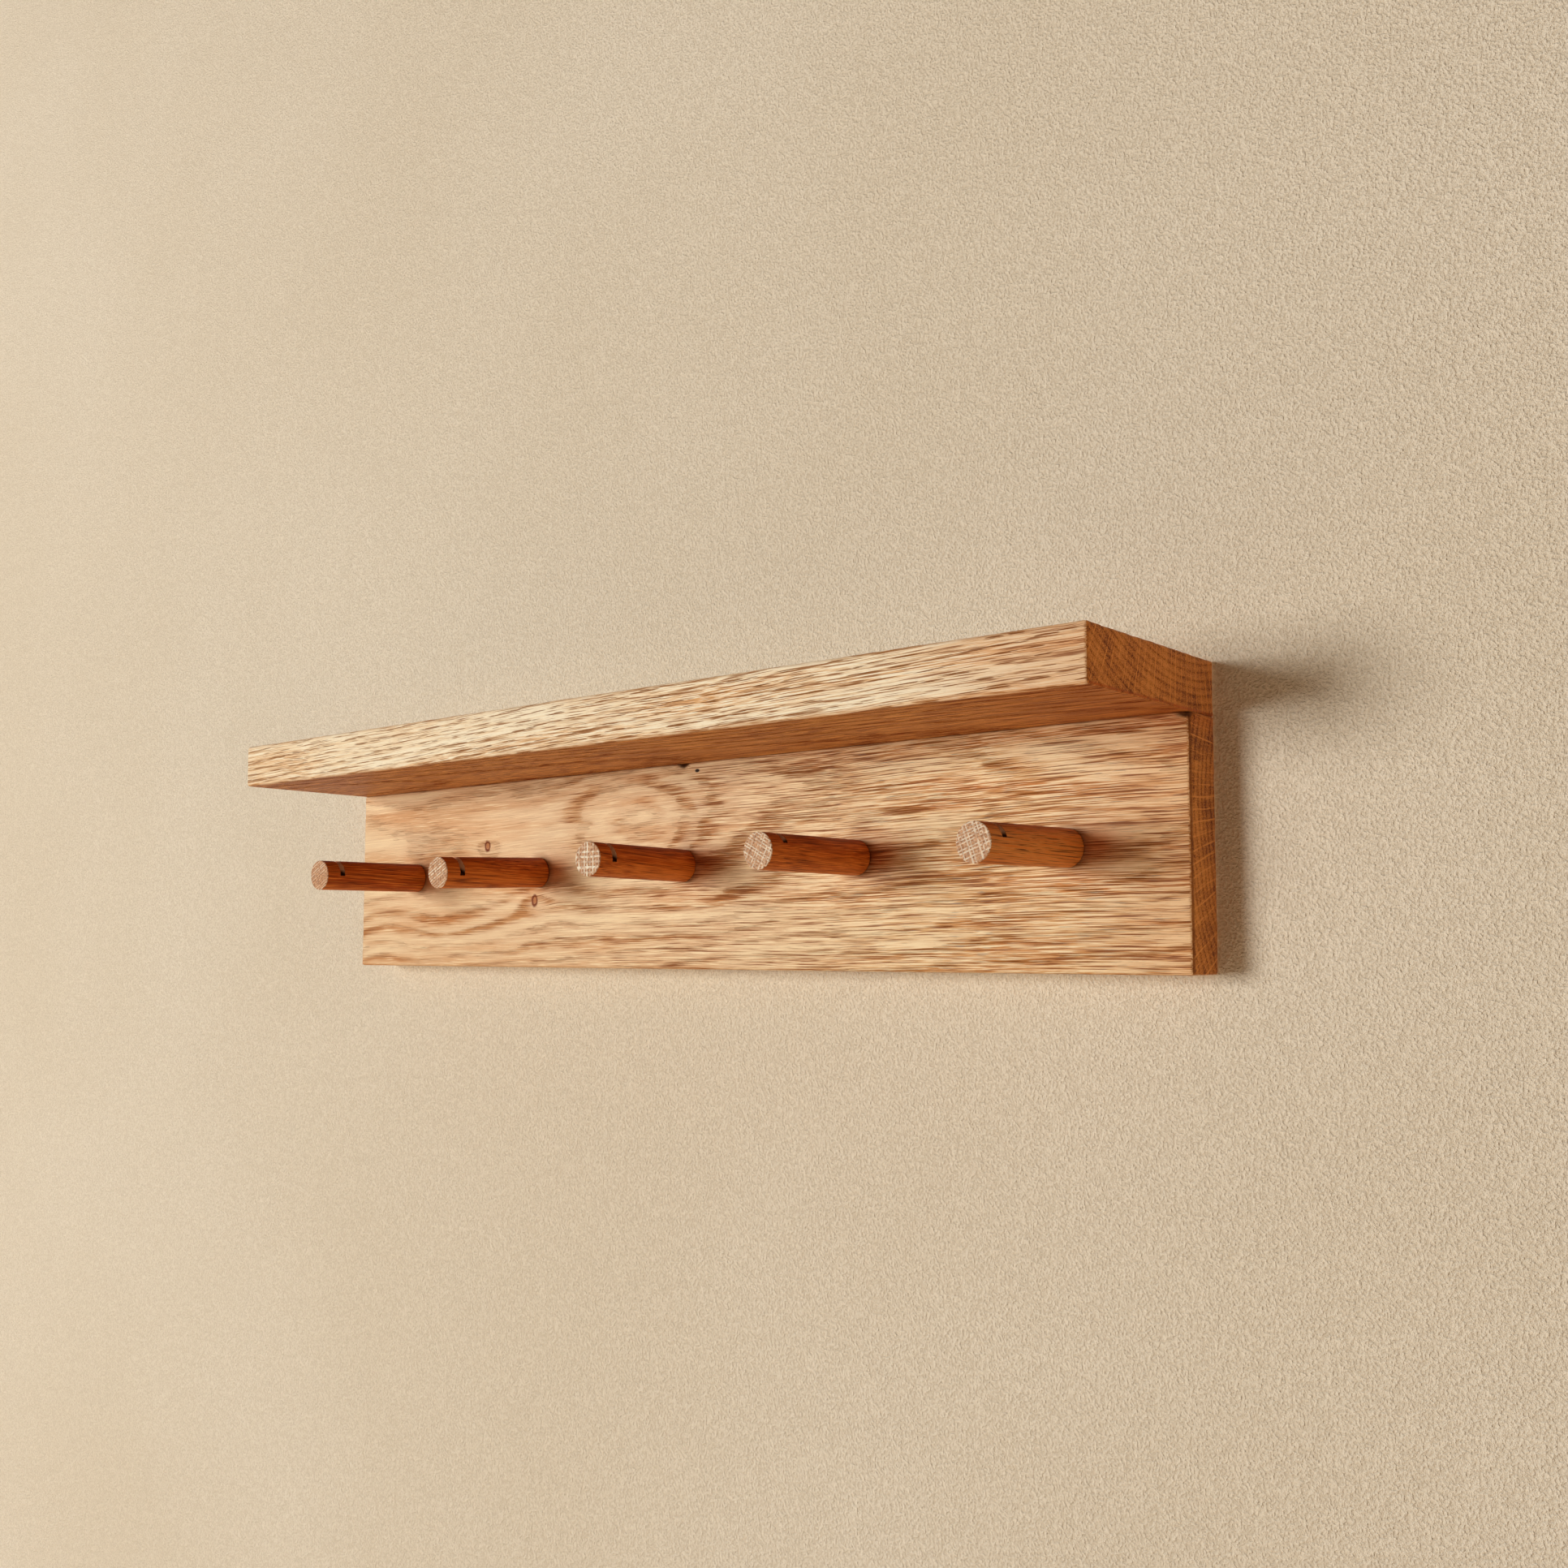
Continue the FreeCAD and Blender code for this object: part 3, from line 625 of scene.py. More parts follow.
def rings_group():
    """Growth rings. The phase is the distance out from the heart in ring widths. Each ring holds a line of
    porous early wood in a broader soft band of stain, which comes and goes in patches, and late wood closes
    it. The edges are drawn out along the fibres. Each ring has a tone of its own."""
    inputs = dict(Wood=ORIGIN, Fibre=ORIGIN, Ring_Width=2.8, Ragged=0.3)
    outputs = dict.fromkeys(("Early", "Late", "Band", "Tone"), "Float")
    w, given, results = new_group("oak_rings", outputs, **inputs)
    phase = w.number("DIVIDE", w.split(given["Wood"])[1], given["Ring Width"])
    uneven = w.centred(w.noise(w.join(0.0, w.times(phase, 0.37), 5.0), UNIT, 1.0), 1.3)
    ragged = w.centred(w.noise(given["Fibre"], RAGGED_SIZE, 3.0), given["Ragged"])
    phase = w.add(phase, uneven, ragged)
    part = w.number("FRACT", phase)
    early = w.times(w.ramp(part, 0.1, 0.22), w.ramp(part, 0.62, 0.3))
    patchy = w.ramp(w.noise(given["Fibre"], PATCH_SIZE), 0.36, 0.62, 0.2, 1.15)
    band = w.times(w.ramp(w.apart(part, 0.42), 0.42, 0.04), patchy)
    return give(w, results, Early=early, Late=w.ramp(part, 0.4, 1.0), Band=band, Tone=w.own(phase))


def pores_group():
    """Pores: long thin cells along the fibres, wide and dark in early wood, few and fine in late wood. They
    show as dashes on a long face and as dots on an end. Between them run soft fibres, long sharp lines,
    shorter and finer specks, and broad streaks."""
    inputs = dict(Fibre=ORIGIN, Early=0.0, Length=14.0, Width=0.6)
    outputs = dict.fromkeys(("Pores", "Fibres", "Lines", "Specks", "Streaks"), "Float")
    w, given, results = new_group("oak_pores", outputs, **inputs)
    fibre, width = given["Fibre"], given["Width"]
    near, chance = w.cells(fibre, w.join(given["Length"], width, width))
    size = w.times(w.add(0.05, w.times(given["Early"], 0.6)), w.add(0.4, w.times(chance, 0.8)))
    pores = w.ramp(near, size, w.times(size, 0.65))
    fibres = w.noise(fibre, FIBRE_SIZE, 4.0, 0.6)
    lines = w.noise(fibre, LINE_SIZE, 1.0)
    specks = w.noise(fibre, SPECK_SIZE, 1.0)
    streaks = w.noise(fibre, STREAK_SIZE)
    return give(w, results, Pores=pores, Fibres=fibres, Lines=lines, Specks=specks, Streaks=streaks)


def rays_group():
    """Rays: thin sheets that run out from the heart, each with its own bend and strength. They show as thin
    light lines on an end. Fine rays are the faint short ones between them."""
    outputs = {"Rays": "Float", "Fine Rays": "Float"}
    w, given, results = new_group("oak_rays", outputs, Wood=ORIGIN)
    wood = given["Wood"]
    bend = w.centred(w.noise(wood, RAY_BEND_SIZE), 0.9)
    phase = w.add(w.number("DIVIDE", w.split(wood)[2], RAY_SPACING), bend)
    sheet = w.ramp(w.apart(w.number("FRACT", phase), 0.5), 0.085, 0.03)
    breaks = w.ramp(w.noise(wood, RAY_BREAK_SIZE, 1.0), 0.3, 0.5, 0.3, 1.0)
    rays = w.times(sheet, w.ramp(w.own(phase), 0.1, 0.8, 0.25, 1.0), breaks)
    return give(w, results, Rays=rays, Fine_Rays=w.ramp(w.noise(wood, FINE_RAY_SIZE, 1.0), 0.58, 0.72))


def oak_group(rings, pores, rays):
    """Oiled oak: its colour, roughness and relief at a point of the tree. The rings, streaks and stains set
    the broad tone, from light past pale to warm. Over it lie light and dark lines and the dark pores, as
    strong as the grain says, and a little stronger where the tone is dark. On the end the oil sinks in, and
    light rays cross the rings."""
    inputs = dict(Wood=ORIGIN, Fibre=ORIGIN, Ring_Width=2.8, Ragged=0.3, Band=0.7, Grain=0.7, Lines=1.0)
    inputs |= dict(Streaks=1.0, Shade=0.0, Pore_Length=14.0, Pore_Width=0.6, Pore_Depth=0.5, End=0.0)
    inputs |= dict.fromkeys(("Light", "Pale", "Warm", "Dark"), OAK_TONE)
    outputs = {"Colour": "Color", "Roughness": "Float", "Height": "Float"}
    w, given, results = new_group("oiled_oak", outputs, **inputs)
    wood, fibre, width = given["Wood"], given["Fibre"], given["Ring Width"]
    ring = w.group(rings, Wood=wood, Fibre=fibre, Ring_Width=width, Ragged=given["Ragged"])
    early, length, width = ring["Early"], given["Pore Length"], given["Pore Width"]
    pore = w.group(pores, Fibre=fibre, Early=early, Length=length, Width=width)
    ray = w.group(rays, Wood=wood)
    end, grain, dark = given["End"], given["Grain"], given["Dark"]

    tone = w.ramp(ring["Tone"], 0.0, 1.0, 0.35, 1.0)
    streaks = w.centred(pore["Streaks"], given["Streaks"])
    fibres = w.centred(pore["Fibres"], grain)
    broad = w.add(w.times(ring["Band"], tone, given["Band"], 0.5), w.times(streaks, 0.6), given["Shade"])
    broad = w.add(broad, w.times(fibres, 0.6), 0.22)
    colour = w.blend(w.ramp(broad, 0.0, 0.32), given["Light"], given["Pale"])
    colour = w.blend(w.ramp(broad, 0.28, 0.85), colour, given["Warm"])
    colour = w.blend(w.ramp(streaks, -0.1, 0.4), colour, STREAK, "MULTIPLY")
    lines = w.times(w.centred(pore["Lines"], given["Lines"]), 3.3)
    contrast = w.times(grain, w.ramp(broad, 0.1, 0.7, 0.75, 1.15))
    fine = w.times(w.add(lines, w.centred(pore["Specks"], 1.7)), contrast)
    fine = w.add(fine, w.times(broad, 0.3), -0.1)
    colour = w.blend(w.ramp(fine, 0.0, -0.4), colour, given["Light"])
    colour = w.blend(w.ramp(fine, 0.05, 0.54, 0.0, 0.9), colour, dark)
    long_pores = w.times(pore["Pores"], w.ramp(early, 0.0, 0.6, 0.25, 1.0), grain)
    flecks = w.times(w.add(w.times(ray["Rays"], 0.2), w.times(ray["Fine Rays"], 0.1)), grain)
    colour = w.blend(w.add(w.times(long_pores, given["Pore Depth"]), flecks), colour, dark)

    end_rings = w.add(w.times(ring["Late"], -0.1), w.times(early, 0.12))
    end_pores = w.add(w.times(pore["Pores"], 0.2), w.centred(pore["Lines"], 1.6))
    end_rays = w.add(w.times(ray["Rays"], -0.9), w.times(ray["Fine Rays"], -0.35))
    end_patches = w.centred(w.noise(wood, END_PATCH_SIZE), 1.3)
    oiled = w.add(0.52, end_rings, end_pores, end_rays, end_patches)
    end_colour = w.blend(w.ramp(oiled, 0.0, 0.5), END_GRAIN_LIGHT, END_GRAIN)
    end_colour = w.blend(w.ramp(oiled, 0.45, 1.0), end_colour, END_GRAIN_DARK)
    colour = w.blend(end, colour, end_colour)

    sunk = w.add(w.times(pore["Pores"], -1.0), w.times(pore["Lines"], -1.0), w.times(ring["Late"], 0.12))
    height = w.add(sunk, w.times(pore["Fibres"], 0.4))
    rough = w.add(0.48, w.times(long_pores, 0.22), w.times(pore["Fibres"], 0.12))
    rough = w.add(rough, w.times(ring["Late"], -0.06), w.times(end, 0.14))
    return give(w, results, Colour=colour, Roughness=rough, Height=height)


def arris_group():
    """1 on a board's arrises, fading to 0 over the reach. The distance to the nearest arris is the middle one
    of the three distances to the nearest faces."""
    inputs = dict(Place=ORIGIN, Low=ORIGIN, High=UNIT, Reach=2.0)
    w, given, results = new_group("arris", {"Arris": "Float"}, **inputs)
    from_low = w.vector("SUBTRACT", given["Place"], given["Low"])
    to_high = w.vector("SUBTRACT", given["High"], given["Place"])
    depths = w.split(w.vector("MINIMUM", from_low, to_high))
    least, most = w.number("MINIMUM", *depths), w.number("MAXIMUM", *depths)
    middle = w.less(w.add(*depths), least, most)
    worn = w.centred(w.noise(given["Place"], (9.0, 3.0, 3.0), 3.0), 2.4)
    return give(w, results, Arris=w.ramp(w.add(middle, worn), given["Reach"], 0.0))


BELL = bell_group()
ARRIS = arris_group()
HEARTWOOD = heartwood_group()
OAK = oak_group(rings_group(), pores_group(), rays_group())


def new_material(name):
    """A material, its wiring, and the place on the object in millimetres and its normal."""
    material = bpy.data.materials.new(name)
    material.use_nodes = True
    w = Wiring(material.node_tree)
    coordinates = w.node("ShaderNodeTexCoord").outputs
    place = w.vector("MULTIPLY", coordinates["Object"], (PER_METRE,) * 3)
    return material, w, place, coordinates["Normal"]


def dress(w, colour, roughness, height, depth, **more):
    """Makes a material's shader and joins it to the output. The relief's depth is in millimetres."""
    bump = w.node("ShaderNodeBump", {"Height": height, "Distance": depth * MM, "Strength": 1.0})
    inputs = {"Base Color": colour, "Roughness": roughness, "Normal": bump.outputs[0]}
    inputs |= {"IOR": 1.45, "Specular IOR Level": 0.14} | spaced(more)
    shader = w.node("ShaderNodeBsdfPrincipled", inputs).outputs[0]
    output = w.node("ShaderNodeOutputMaterial", {"Surface": shader})
    return shader, output.inputs["Surface"]


def bell(w, place, centre, reach):
    return w.group(BELL, Place=place, Centre=centre, Reach=reach)[0]


def bells(w, place, rows):
    """The sum of bells, each given by its centre, its reach and its height."""
    total = 0.0
    for centre, reach, height in rows:
        total = w.add(total, w.times(bell(w, place, centre, reach), height))
    return total


def on_end(w, normal):
    """1 on a board's two ends, 0 on its long faces."""
    return w.ramp(w.number("ABSOLUTE", w.split(normal)[0]), 0.55, 0.8)


def wear_arrises(w, place, node, colour, strength, worn):
    low, high = (tuple(corner) for corner in box_of(node))
    arris = w.group(ARRIS, Place=place, Low=low, High=high, Reach=1.6)[0]
    return w.blend(w.times(arris, strength), colour, worn)


def pin_knot(w, place, centre, reach):
    """A pin knot's dark ring, and its lighter core."""
    away = w.vector("DIVIDE", w.vector("SUBTRACT", place, centre), reach)
    wobble = w.centred(w.noise(place, (1.3, 1.3, 1.3)), 0.5)
    distance = w.add(w.vector("LENGTH", away), wobble)
    ring = w.times(w.ramp(distance, 0.4, 0.7), w.ramp(distance, 1.35, 0.9))
    return ring, w.ramp(distance, 0.75, 0.4)


# Where the rings bulge in the rail: centre, reach, and how much further out they lie.
RAIL_SWELLS = [
    ((-29, -10, 20), (40, 60, 28), -7.6),
    ((-230, -10, 62), (95, 60, 30), 7.0),
    ((240, -10, 62), (80, 60, 34), 8.0),
    ((-232, -10, -36), (22, 60, 22), 2.2),
    ((-160, -10, -24), (36, 60, 16), -1.4),
    ((-92, -10, -26), (24, 60, 14), 1.2),
    ((8, -10, -18), (22, 60, 12), -1.8),
    ((120, -10, 22), (45, 60, 9), -2.2),
]

# Darker stretches of the rail's face: centre, reach, and how much darker.
RAIL_STAINS = [
    ((20, -21, -10), (70, 60, 90), 0.05),
    ((-105, -21, 41), (34, 40, 9), 0.16),
    ((45, -21, 37), (60, 40, 11), 0.08),
    ((-72, -21, 26), (14, 40, 24), 0.1),
    ((8, -21, 24), (14, 40, 20), 0.12),
    ((-150, -21, -26), (70, 40, 8), 0.06),
    ((60, -21, -8), (60, 40, 7), 0.08),
    ((215, -21, -12), (40, 40, 9), 0.08),
]
RAIL_SWIRL = ((-29, -21, 24), (60, 40, 22))
KNOT_REACH = (13, 40, 5)
KNOT_DEPTH = 14

# Dark spots on the rail's face: the bark pocket, a spot beside it, and the chip.
DARK_SPOTS = [
    (BARK_POCKET[0], (3.4, 3.0, 2.2), 1.0),
    ((8, -21, 43.6), (1.6, 2.0, 0.9), 1.0),
    (CORNER_CHIP[0], (6.0, 4.0, 2.6), 1.0),
]


def rail_material():
    """The back board. Its heart lies behind it, so its front shows broad bands round a swirl. Its grain grows
    coarser and its colour deeper to the right. Round each peg's foot there is a ring of painted shade, partly
    glue stain, and to its right the peg's cast shadow is painted on the face."""
    material, w, place, normal = new_material("oiled_oak_rail")
    x, y, z = w.split(place)
    near_knots, knot_rings, knot_cores = 0.0, 0.0, 0.0
    for centre, (wide, tall), _ in RAIL_KNOTS:
        ring, core = pin_knot(w, place, centre, (wide, KNOT_DEPTH, tall))
        near_knots = w.add(near_knots, bell(w, place, centre, KNOT_REACH))
        knot_rings, knot_cores = w.add(knot_rings, ring), w.add(knot_cores, core)
    swirl = bell(w, place, *RAIL_SWIRL)
    tree = w.group(
        HEARTWOOD,
        Place=place,
        Heart=(0, 112, 27), Slope=(0, 0.026, 0.01), Fibre_Slope=(0, 0, 0.012),
        Wander=3.0, Sway=4.0,
        Ripple=w.add(1.3, w.times(swirl, 2.6)),
        Swell=w.add(bells(w, place, RAIL_SWELLS), w.times(near_knots, 3.0)),
        Lift=w.times(near_knots, 2.0),
    )
    end = on_end(w, normal)
    rightwards = w.ramp(x, 20.0, 150.0)
    oak = w.group(
        OAK,
        Wood=tree["Wood"], Fibre=tree["Fibre"], Ring_Width=3.2,
        Ragged=w.ramp(x, -60.0, 90.0, 0.12, 0.34),
        Band=w.add(w.ramp(x, -20.0, 140.0, 0.95, 0.42), w.times(swirl, 1.3)),
        Streaks=w.ramp(x, 70.0, 170.0, 0.75, 1.45),
        Lines=w.add(w.ramp(x, 20.0, 160.0, 1.0, 1.2), w.times(swirl, -0.5)),
        Shade=bells(w, place, RAIL_STAINS),
        Grain=w.ramp(x, -140.0, 110.0, 0.4, 1.0),
        Pore_Length=22.0, Pore_Width=0.42, Pore_Depth=0.3, End=end,
        Light=paint(252, 230, 188), Dark=paint(132, 72, 20),
        Pale=w.blend(rightwards, paint(229, 196, 156), paint(221, 176, 121)),
        Warm=w.blend(rightwards, paint(200, 144, 88), paint(192, 128, 58)),
    )
    silver = w.ramp(w.noise(tree["Fibre"], SILVER_SIZE, 1.0), 0.66, 0.74)
    colour = w.blend(w.times(silver, w.ramp(x, 20.0, 130.0), 0.7), oak["Colour"], SILVER)
    # Painted shade under the shelf along the rail's top, partly a deeper tone of the wood; and the rail
    # darker and more orange towards its right end.
    shelf_shade_on_rail_top = w.times(w.ramp(z, 36.0, 47.0), w.ramp(x, 20.0, 80.0), 0.25)
    right_deepening = w.times(w.ramp(x, 190.0, 250.0), 0.4)
    colour = w.blend(w.add(shelf_shade_on_rail_top, right_deepening), colour, RAIL_SHADE_AND_DEEP_TONE, "MULTIPLY")
    colour = w.blend(w.times(knot_rings, 0.95), colour, KNOT_RING)
    colour = w.blend(w.times(knot_cores, 0.9), colour, KNOT_CORE)
    colour = w.blend(w.ramp(bells(w, place, DARK_SPOTS), 0.25, 0.7), colour, BARK)
    peg_rings_shade_and_stain, painted_peg_shadows = 0.0, 0.0
    for name in PEG_NAMES:
        root, axis, _, _, radius, _ = peg_place(name)
        off_axis = w.vector("CROSS_PRODUCT", w.vector("SUBTRACT", place, tuple(root)), tuple(axis))
        peg_rings_shade_and_stain = w.add(peg_rings_shade_and_stain, w.ramp(w.vector("LENGTH", off_axis), radius + 4.0, radius))
        # Each peg's cast shadow, painted on the face to the right of its foot.
        foot = (root[0] + 11, root[1], root[2])
        painted_peg_shadows = w.add(painted_peg_shadows, bell(w, place, foot, (13, 6, 8)))
    front = w.ramp(y, -18.0, -20.0)
    # A ring of painted shade round each peg's foot, partly a stain of glue and oil.
    colour = w.blend(w.times(peg_rings_shade_and_stain, front, 0.4), colour, PEG_RING_SHADE_AND_STAIN)
    # Painted shadow of each peg, to the right of its foot.
    colour = w.blend(w.times(painted_peg_shadows, front, 0.8), colour, PAINTED_PEG_SHADOW, "MULTIPLY")
    colour = w.blend(w.times(end, w.ramp(y, -18.6, -20.4), 0.6), colour, END_EDGE)
    colour = wear_arrises(w, place, "back_rail", colour, 0.35, RAIL_ARRIS)
    dress(w, colour, oak["Roughness"], oak["Height"], 0.12)
    return material


def shelf_material():
    """The shelf board. Its heart lies above it, so its front edge shows straight rings and its underside
    curves. The underside is painted darker and more orange, as shade under the board."""
    material, w, place, normal = new_material("oiled_oak_shelf")
    x, y, z = w.split(place)
    tree = w.group(
        HEARTWOOD,
        Place=place,
        Heart=(0, -37, 170), Slope=(0, 0.06, 0.02), Fibre_Slope=(0, 0.01, 0.02),
        Wander=5.0, Sway=1.6, Ripple=0.5,
        Swell=w.times(bell(w, place, (60, -95, 58), (90, 40, 30)), 1.6),
    )
    beneath = w.times(w.ramp(z, 49.0, 48.0), w.ramp(w.number("ABSOLUTE", y), 95.0, 92.5))
    oak = w.group(
        OAK,
        Wood=tree["Wood"], Fibre=tree["Fibre"], Ring_Width=2.9, Ragged=0.1,
        Band=w.add(0.8, w.times(beneath, 0.45)),
        Lines=w.add(0.9, w.times(beneath, 2.1)),
        Grain=w.add(w.ramp(x, -240.0, 60.0, 0.85, 1.2), w.times(beneath, 2.2)),
        # Painted shade on the underside.
        Shade=w.times(beneath, 0.12),
        Pore_Length=13.0, Pore_Width=0.5, Pore_Depth=0.8, End=on_end(w, normal),
        Light=paint(255, 244, 216), Pale=paint(246, 222, 184),
        Warm=paint(198, 158, 110), Dark=paint(150, 98, 52),
    )
    # The shelf darker and more orange towards its right end.
    right_deepening = w.times(w.ramp(x, 160.0, 250.0), 0.5)
    colour = w.blend(right_deepening, oak["Colour"], SHELF_RIGHT_DEEP_TONE, "MULTIPLY")
    # Painted shade on the underside: darker and more orange.
    colour = w.blend(beneath, colour, UNDERSIDE_PAINTED_SHADE, "MULTIPLY")
    colour = wear_arrises(w, place, "shelf", colour, 0.4, SHELF_ARRIS)
    dress(w, colour, oak["Roughness"], oak["Height"], 0.12)
    return material


# Each peg's tip: the slope in degrees of its first family of light lines, their spacing in millimetres, and
# how strong the first and the second family are.
PEG_TIPS = [
    (28, 1.2, 0.5, 0.1),
    (27, 1.25, 0.85, 0.2),
    (90, 1.7, 1.0, 0.95),
    (-28, 1.2, 0.75, 0.6),
    (19, 1.15, 0.7, 0.65),
]
PEG_CUT_APART = 300.0


def tip_lines(w, across, spacing, seed):
    """Light lines at a spacing, each a little bent, broken and of its own strength."""
    bend = w.centred(w.noise(w.join(across, seed, w.times(across, 0.3)), UNIT, 1.0), 0.6)
    phase = w.add(w.number("DIVIDE", across, spacing), bend, seed)
    line = w.ramp(w.apart(w.number("FRACT", phase), 0.5), 0.3, 0.1)
    return w.times(line, w.ramp(w.own(phase), 0.0, 0.6, 0.3, 1.0))


def peg_material(name):
    """One peg. Its grain runs along it, so its sides are fine lines, and its sawn tip is crossed by light
    lines: its rays and the saw's marks. The kerf's wall is pale sawn end grain with a painted highlight, and
    its floor is painted dark as shade. The peg's upper side is painted darker, as shade."""
    material, w, place, _ = new_material(f"oiled_oak_{name}")
    root, axis, up, _, radius, reach = peg_place(name)
    _, upright, level = peg_axes(name)
    number = PEG_NAMES.index(name)
    slope, spacing, first, second = PEG_TIPS[number]
    own = w.vector("SUBTRACT", place, tuple(root))

    def towards(direction):
        return w.vector("DOT_PRODUCT", own, tuple(direction))

    along = towards(axis)
    turn = math.radians(slope)
    one = towards(math.cos(turn) * upright - math.sin(turn) * level)
    other = towards(math.sin(turn) * upright + math.cos(turn) * level)
    turned = w.join(w.add(along, PEG_CUT_APART * number), one, other)
    tree = w.group(
        HEARTWOOD,
        Place=turned,
        Heart=(0, 90, 0), Slope=(0, 0.05, 0.02), Fibre_Slope=(0, 0.02, 0.03),
        Wander=1.0, Sway=0.8, Ripple=0.3,
    )
    oak = w.group(
        OAK,
        Wood=tree["Wood"], Fibre=tree["Fibre"], Ring_Width=2.1, Band=0.6,
        Pore_Length=16.0, Pore_Width=0.4, Pore_Depth=0.3,
        Light=paint(216, 126, 52), Pale=paint(*PEG_TONES[number]),
        Warm=paint(166, 90, 34), Dark=paint(82, 36, 10),
    )
    mottle = w.noise(turned, (3.0, 0.9, 0.9), 3.0, 0.6)
    breaks = w.ramp(w.noise(turned, (3.0, 1.6, 1.6)), 0.36, 0.56, 0.25, 1.0)
    sawn = w.blend(w.ramp(mottle, 0.3, 0.7), SAWN_PALE, SAWN_DARK)
    pits, _ = w.cells(turned, (3.0, 0.55, 0.55))
    sawn = w.blend(w.ramp(pits, 0.3, 0.1, 0.0, 0.45), sawn, SAWN_PIT)
    family = w.times(tip_lines(w, one, spacing, 0.37 + number), first)
    crossing = w.times(tip_lines(w, other, spacing * 1.3, 0.11 + number), second)
    strands = w.number("MAXIMUM", family, crossing)
    sawn = w.blend(w.times(strands, breaks), sawn, SAWN_RAY)
    tip = w.ramp(along, reach - TIP_EASE * 1.4, reach - TIP_EASE * 0.8)
    colour = w.blend(tip, oak["Colour"], sawn)

    from_middle = w.apart(along, reach - KERF_SETBACK)
    from_axis = w.vector("LENGTH", w.join(0.0, one, other))
    under_skin = w.ramp(from_axis, radius - 0.02, radius - 0.2)
    in_kerf = w.times(w.ramp(from_middle, KERF_WIDTH * 0.62, KERF_WIDTH * 0.5), under_skin)
    above_floor = w.less(towards(up), radius - KERF_DEPTH)
    # The kerf painted as lit and shaded: its wall pale as lit end grain, its floor dark as shade.
    kerf_painted_light_and_shade = w.blend(w.ramp(above_floor, 0.8, 2.8), KERF_FLOOR_PAINTED_SHADE, KERF_WALL_GRAIN_AND_HIGHLIGHT)
    colour = w.blend(w.times(in_kerf, 0.92), colour, kerf_painted_light_and_shade)
    # Painted shade: the peg's upper side darker, as shade.
    painted_top_shade = w.ramp(towards(upright), radius * 0.5, radius, 0.0, 0.7)
    colour = w.blend(w.times(painted_top_shade, w.less(1.0, tip)), colour, PEG_TOP_PAINTED_SHADE, "MULTIPLY")
    colour = w.blend(w.times(w.ramp(along, 1.1, 0.2), 0.75), colour, PEG_FOOT)
    height = w.add(oak["Height"], w.times(strands, tip, 1.5))
    dress(w, colour, w.add(oak["Roughness"], w.times(tip, 0.15)), height, 0.07)
    return material


def beech_material():
    """Beech dowels: pale pink wood with short darker flecks along the grain, which runs up."""
    material, w, place, _ = new_material("beech")
    flecks = w.noise(place, (0.25, 0.25, 2.6), 1.0)
    streaks = w.noise(place, (0.9, 0.9, 30.0), 3.0, 0.6)
    colour = w.blend(w.ramp(streaks, 0.3, 0.7), paint(226, 190, 150), paint(204, 160, 118))
    colour = w.blend(w.ramp(flecks, 0.62, 0.72, 0.0, 0.55), colour, paint(158, 108, 72))
    dress(w, colour, w.ramp(flecks, 0.3, 0.7, 0.5, 0.66), streaks, 0.05)
    return material


def steel_material(name, bright, dull, scratch):
    """Zinc-plated steel: scratches of the given width up and down, cloudy plating and dull spots."""
    material, w, place, _ = new_material(name)
    scratches = w.noise(place, (scratch, scratch, 14.0), 3.0, 0.6)
    clouds = w.noise(place, (5.0, 5.0, 7.0), 3.0)
    spots = w.noise(place, (0.7, 0.7, 0.7))
    colour = w.blend(w.ramp(clouds, 0.35, 0.7), bright, dull)
    colour = w.blend(w.ramp(spots, 0.62, 0.74, 0.0, 0.5), colour, paint(120, 116, 108))
    rough = w.add(w.ramp(scratches, 0.3, 0.7, 0.26, 0.42), w.ramp(spots, 0.58, 0.72, 0.0, 0.2))
    dress(w, colour, rough, scratches, 0.02, Metallic=1.0)
    return material


def dress_nodes(names, material):
    for name in names:
        for slot in frame["nodes"][name].material_slots:
            slot.material = material


# The stage: a painted wall behind the rail, and a floor below the picture.
WALL_REACH = 6000.0
WALL_GAP = 0.4
FLOOR_DROP = 2400.0
WALL_PALE = paint(240, 230, 211)
WALL_CLOUD = paint(222, 206, 178)
# Painted shade in the pits of the wall's stipple.
WALL_PIT_PAINTED_SHADE = paint(192, 174, 146)
STIPPLE_SIZE = (0.95, 0.95, 0.95)
STIPPLE_DEPTH = 1.0
CLOUD_SIZE = (300.0, 300.0, 300.0)
FLOOR_PALE = paint(222, 204, 180)
FLOOR_GRAIN = paint(216, 206, 190)
FLOOR_GLOW = paint(158, 150, 138)


def make_plane(name, corners, material):
    plane = put_in_scene(name, np.array(corners), [(0, 1, 2, 3)])
    plane.data.materials.append(material)
    plane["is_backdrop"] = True
    return plane


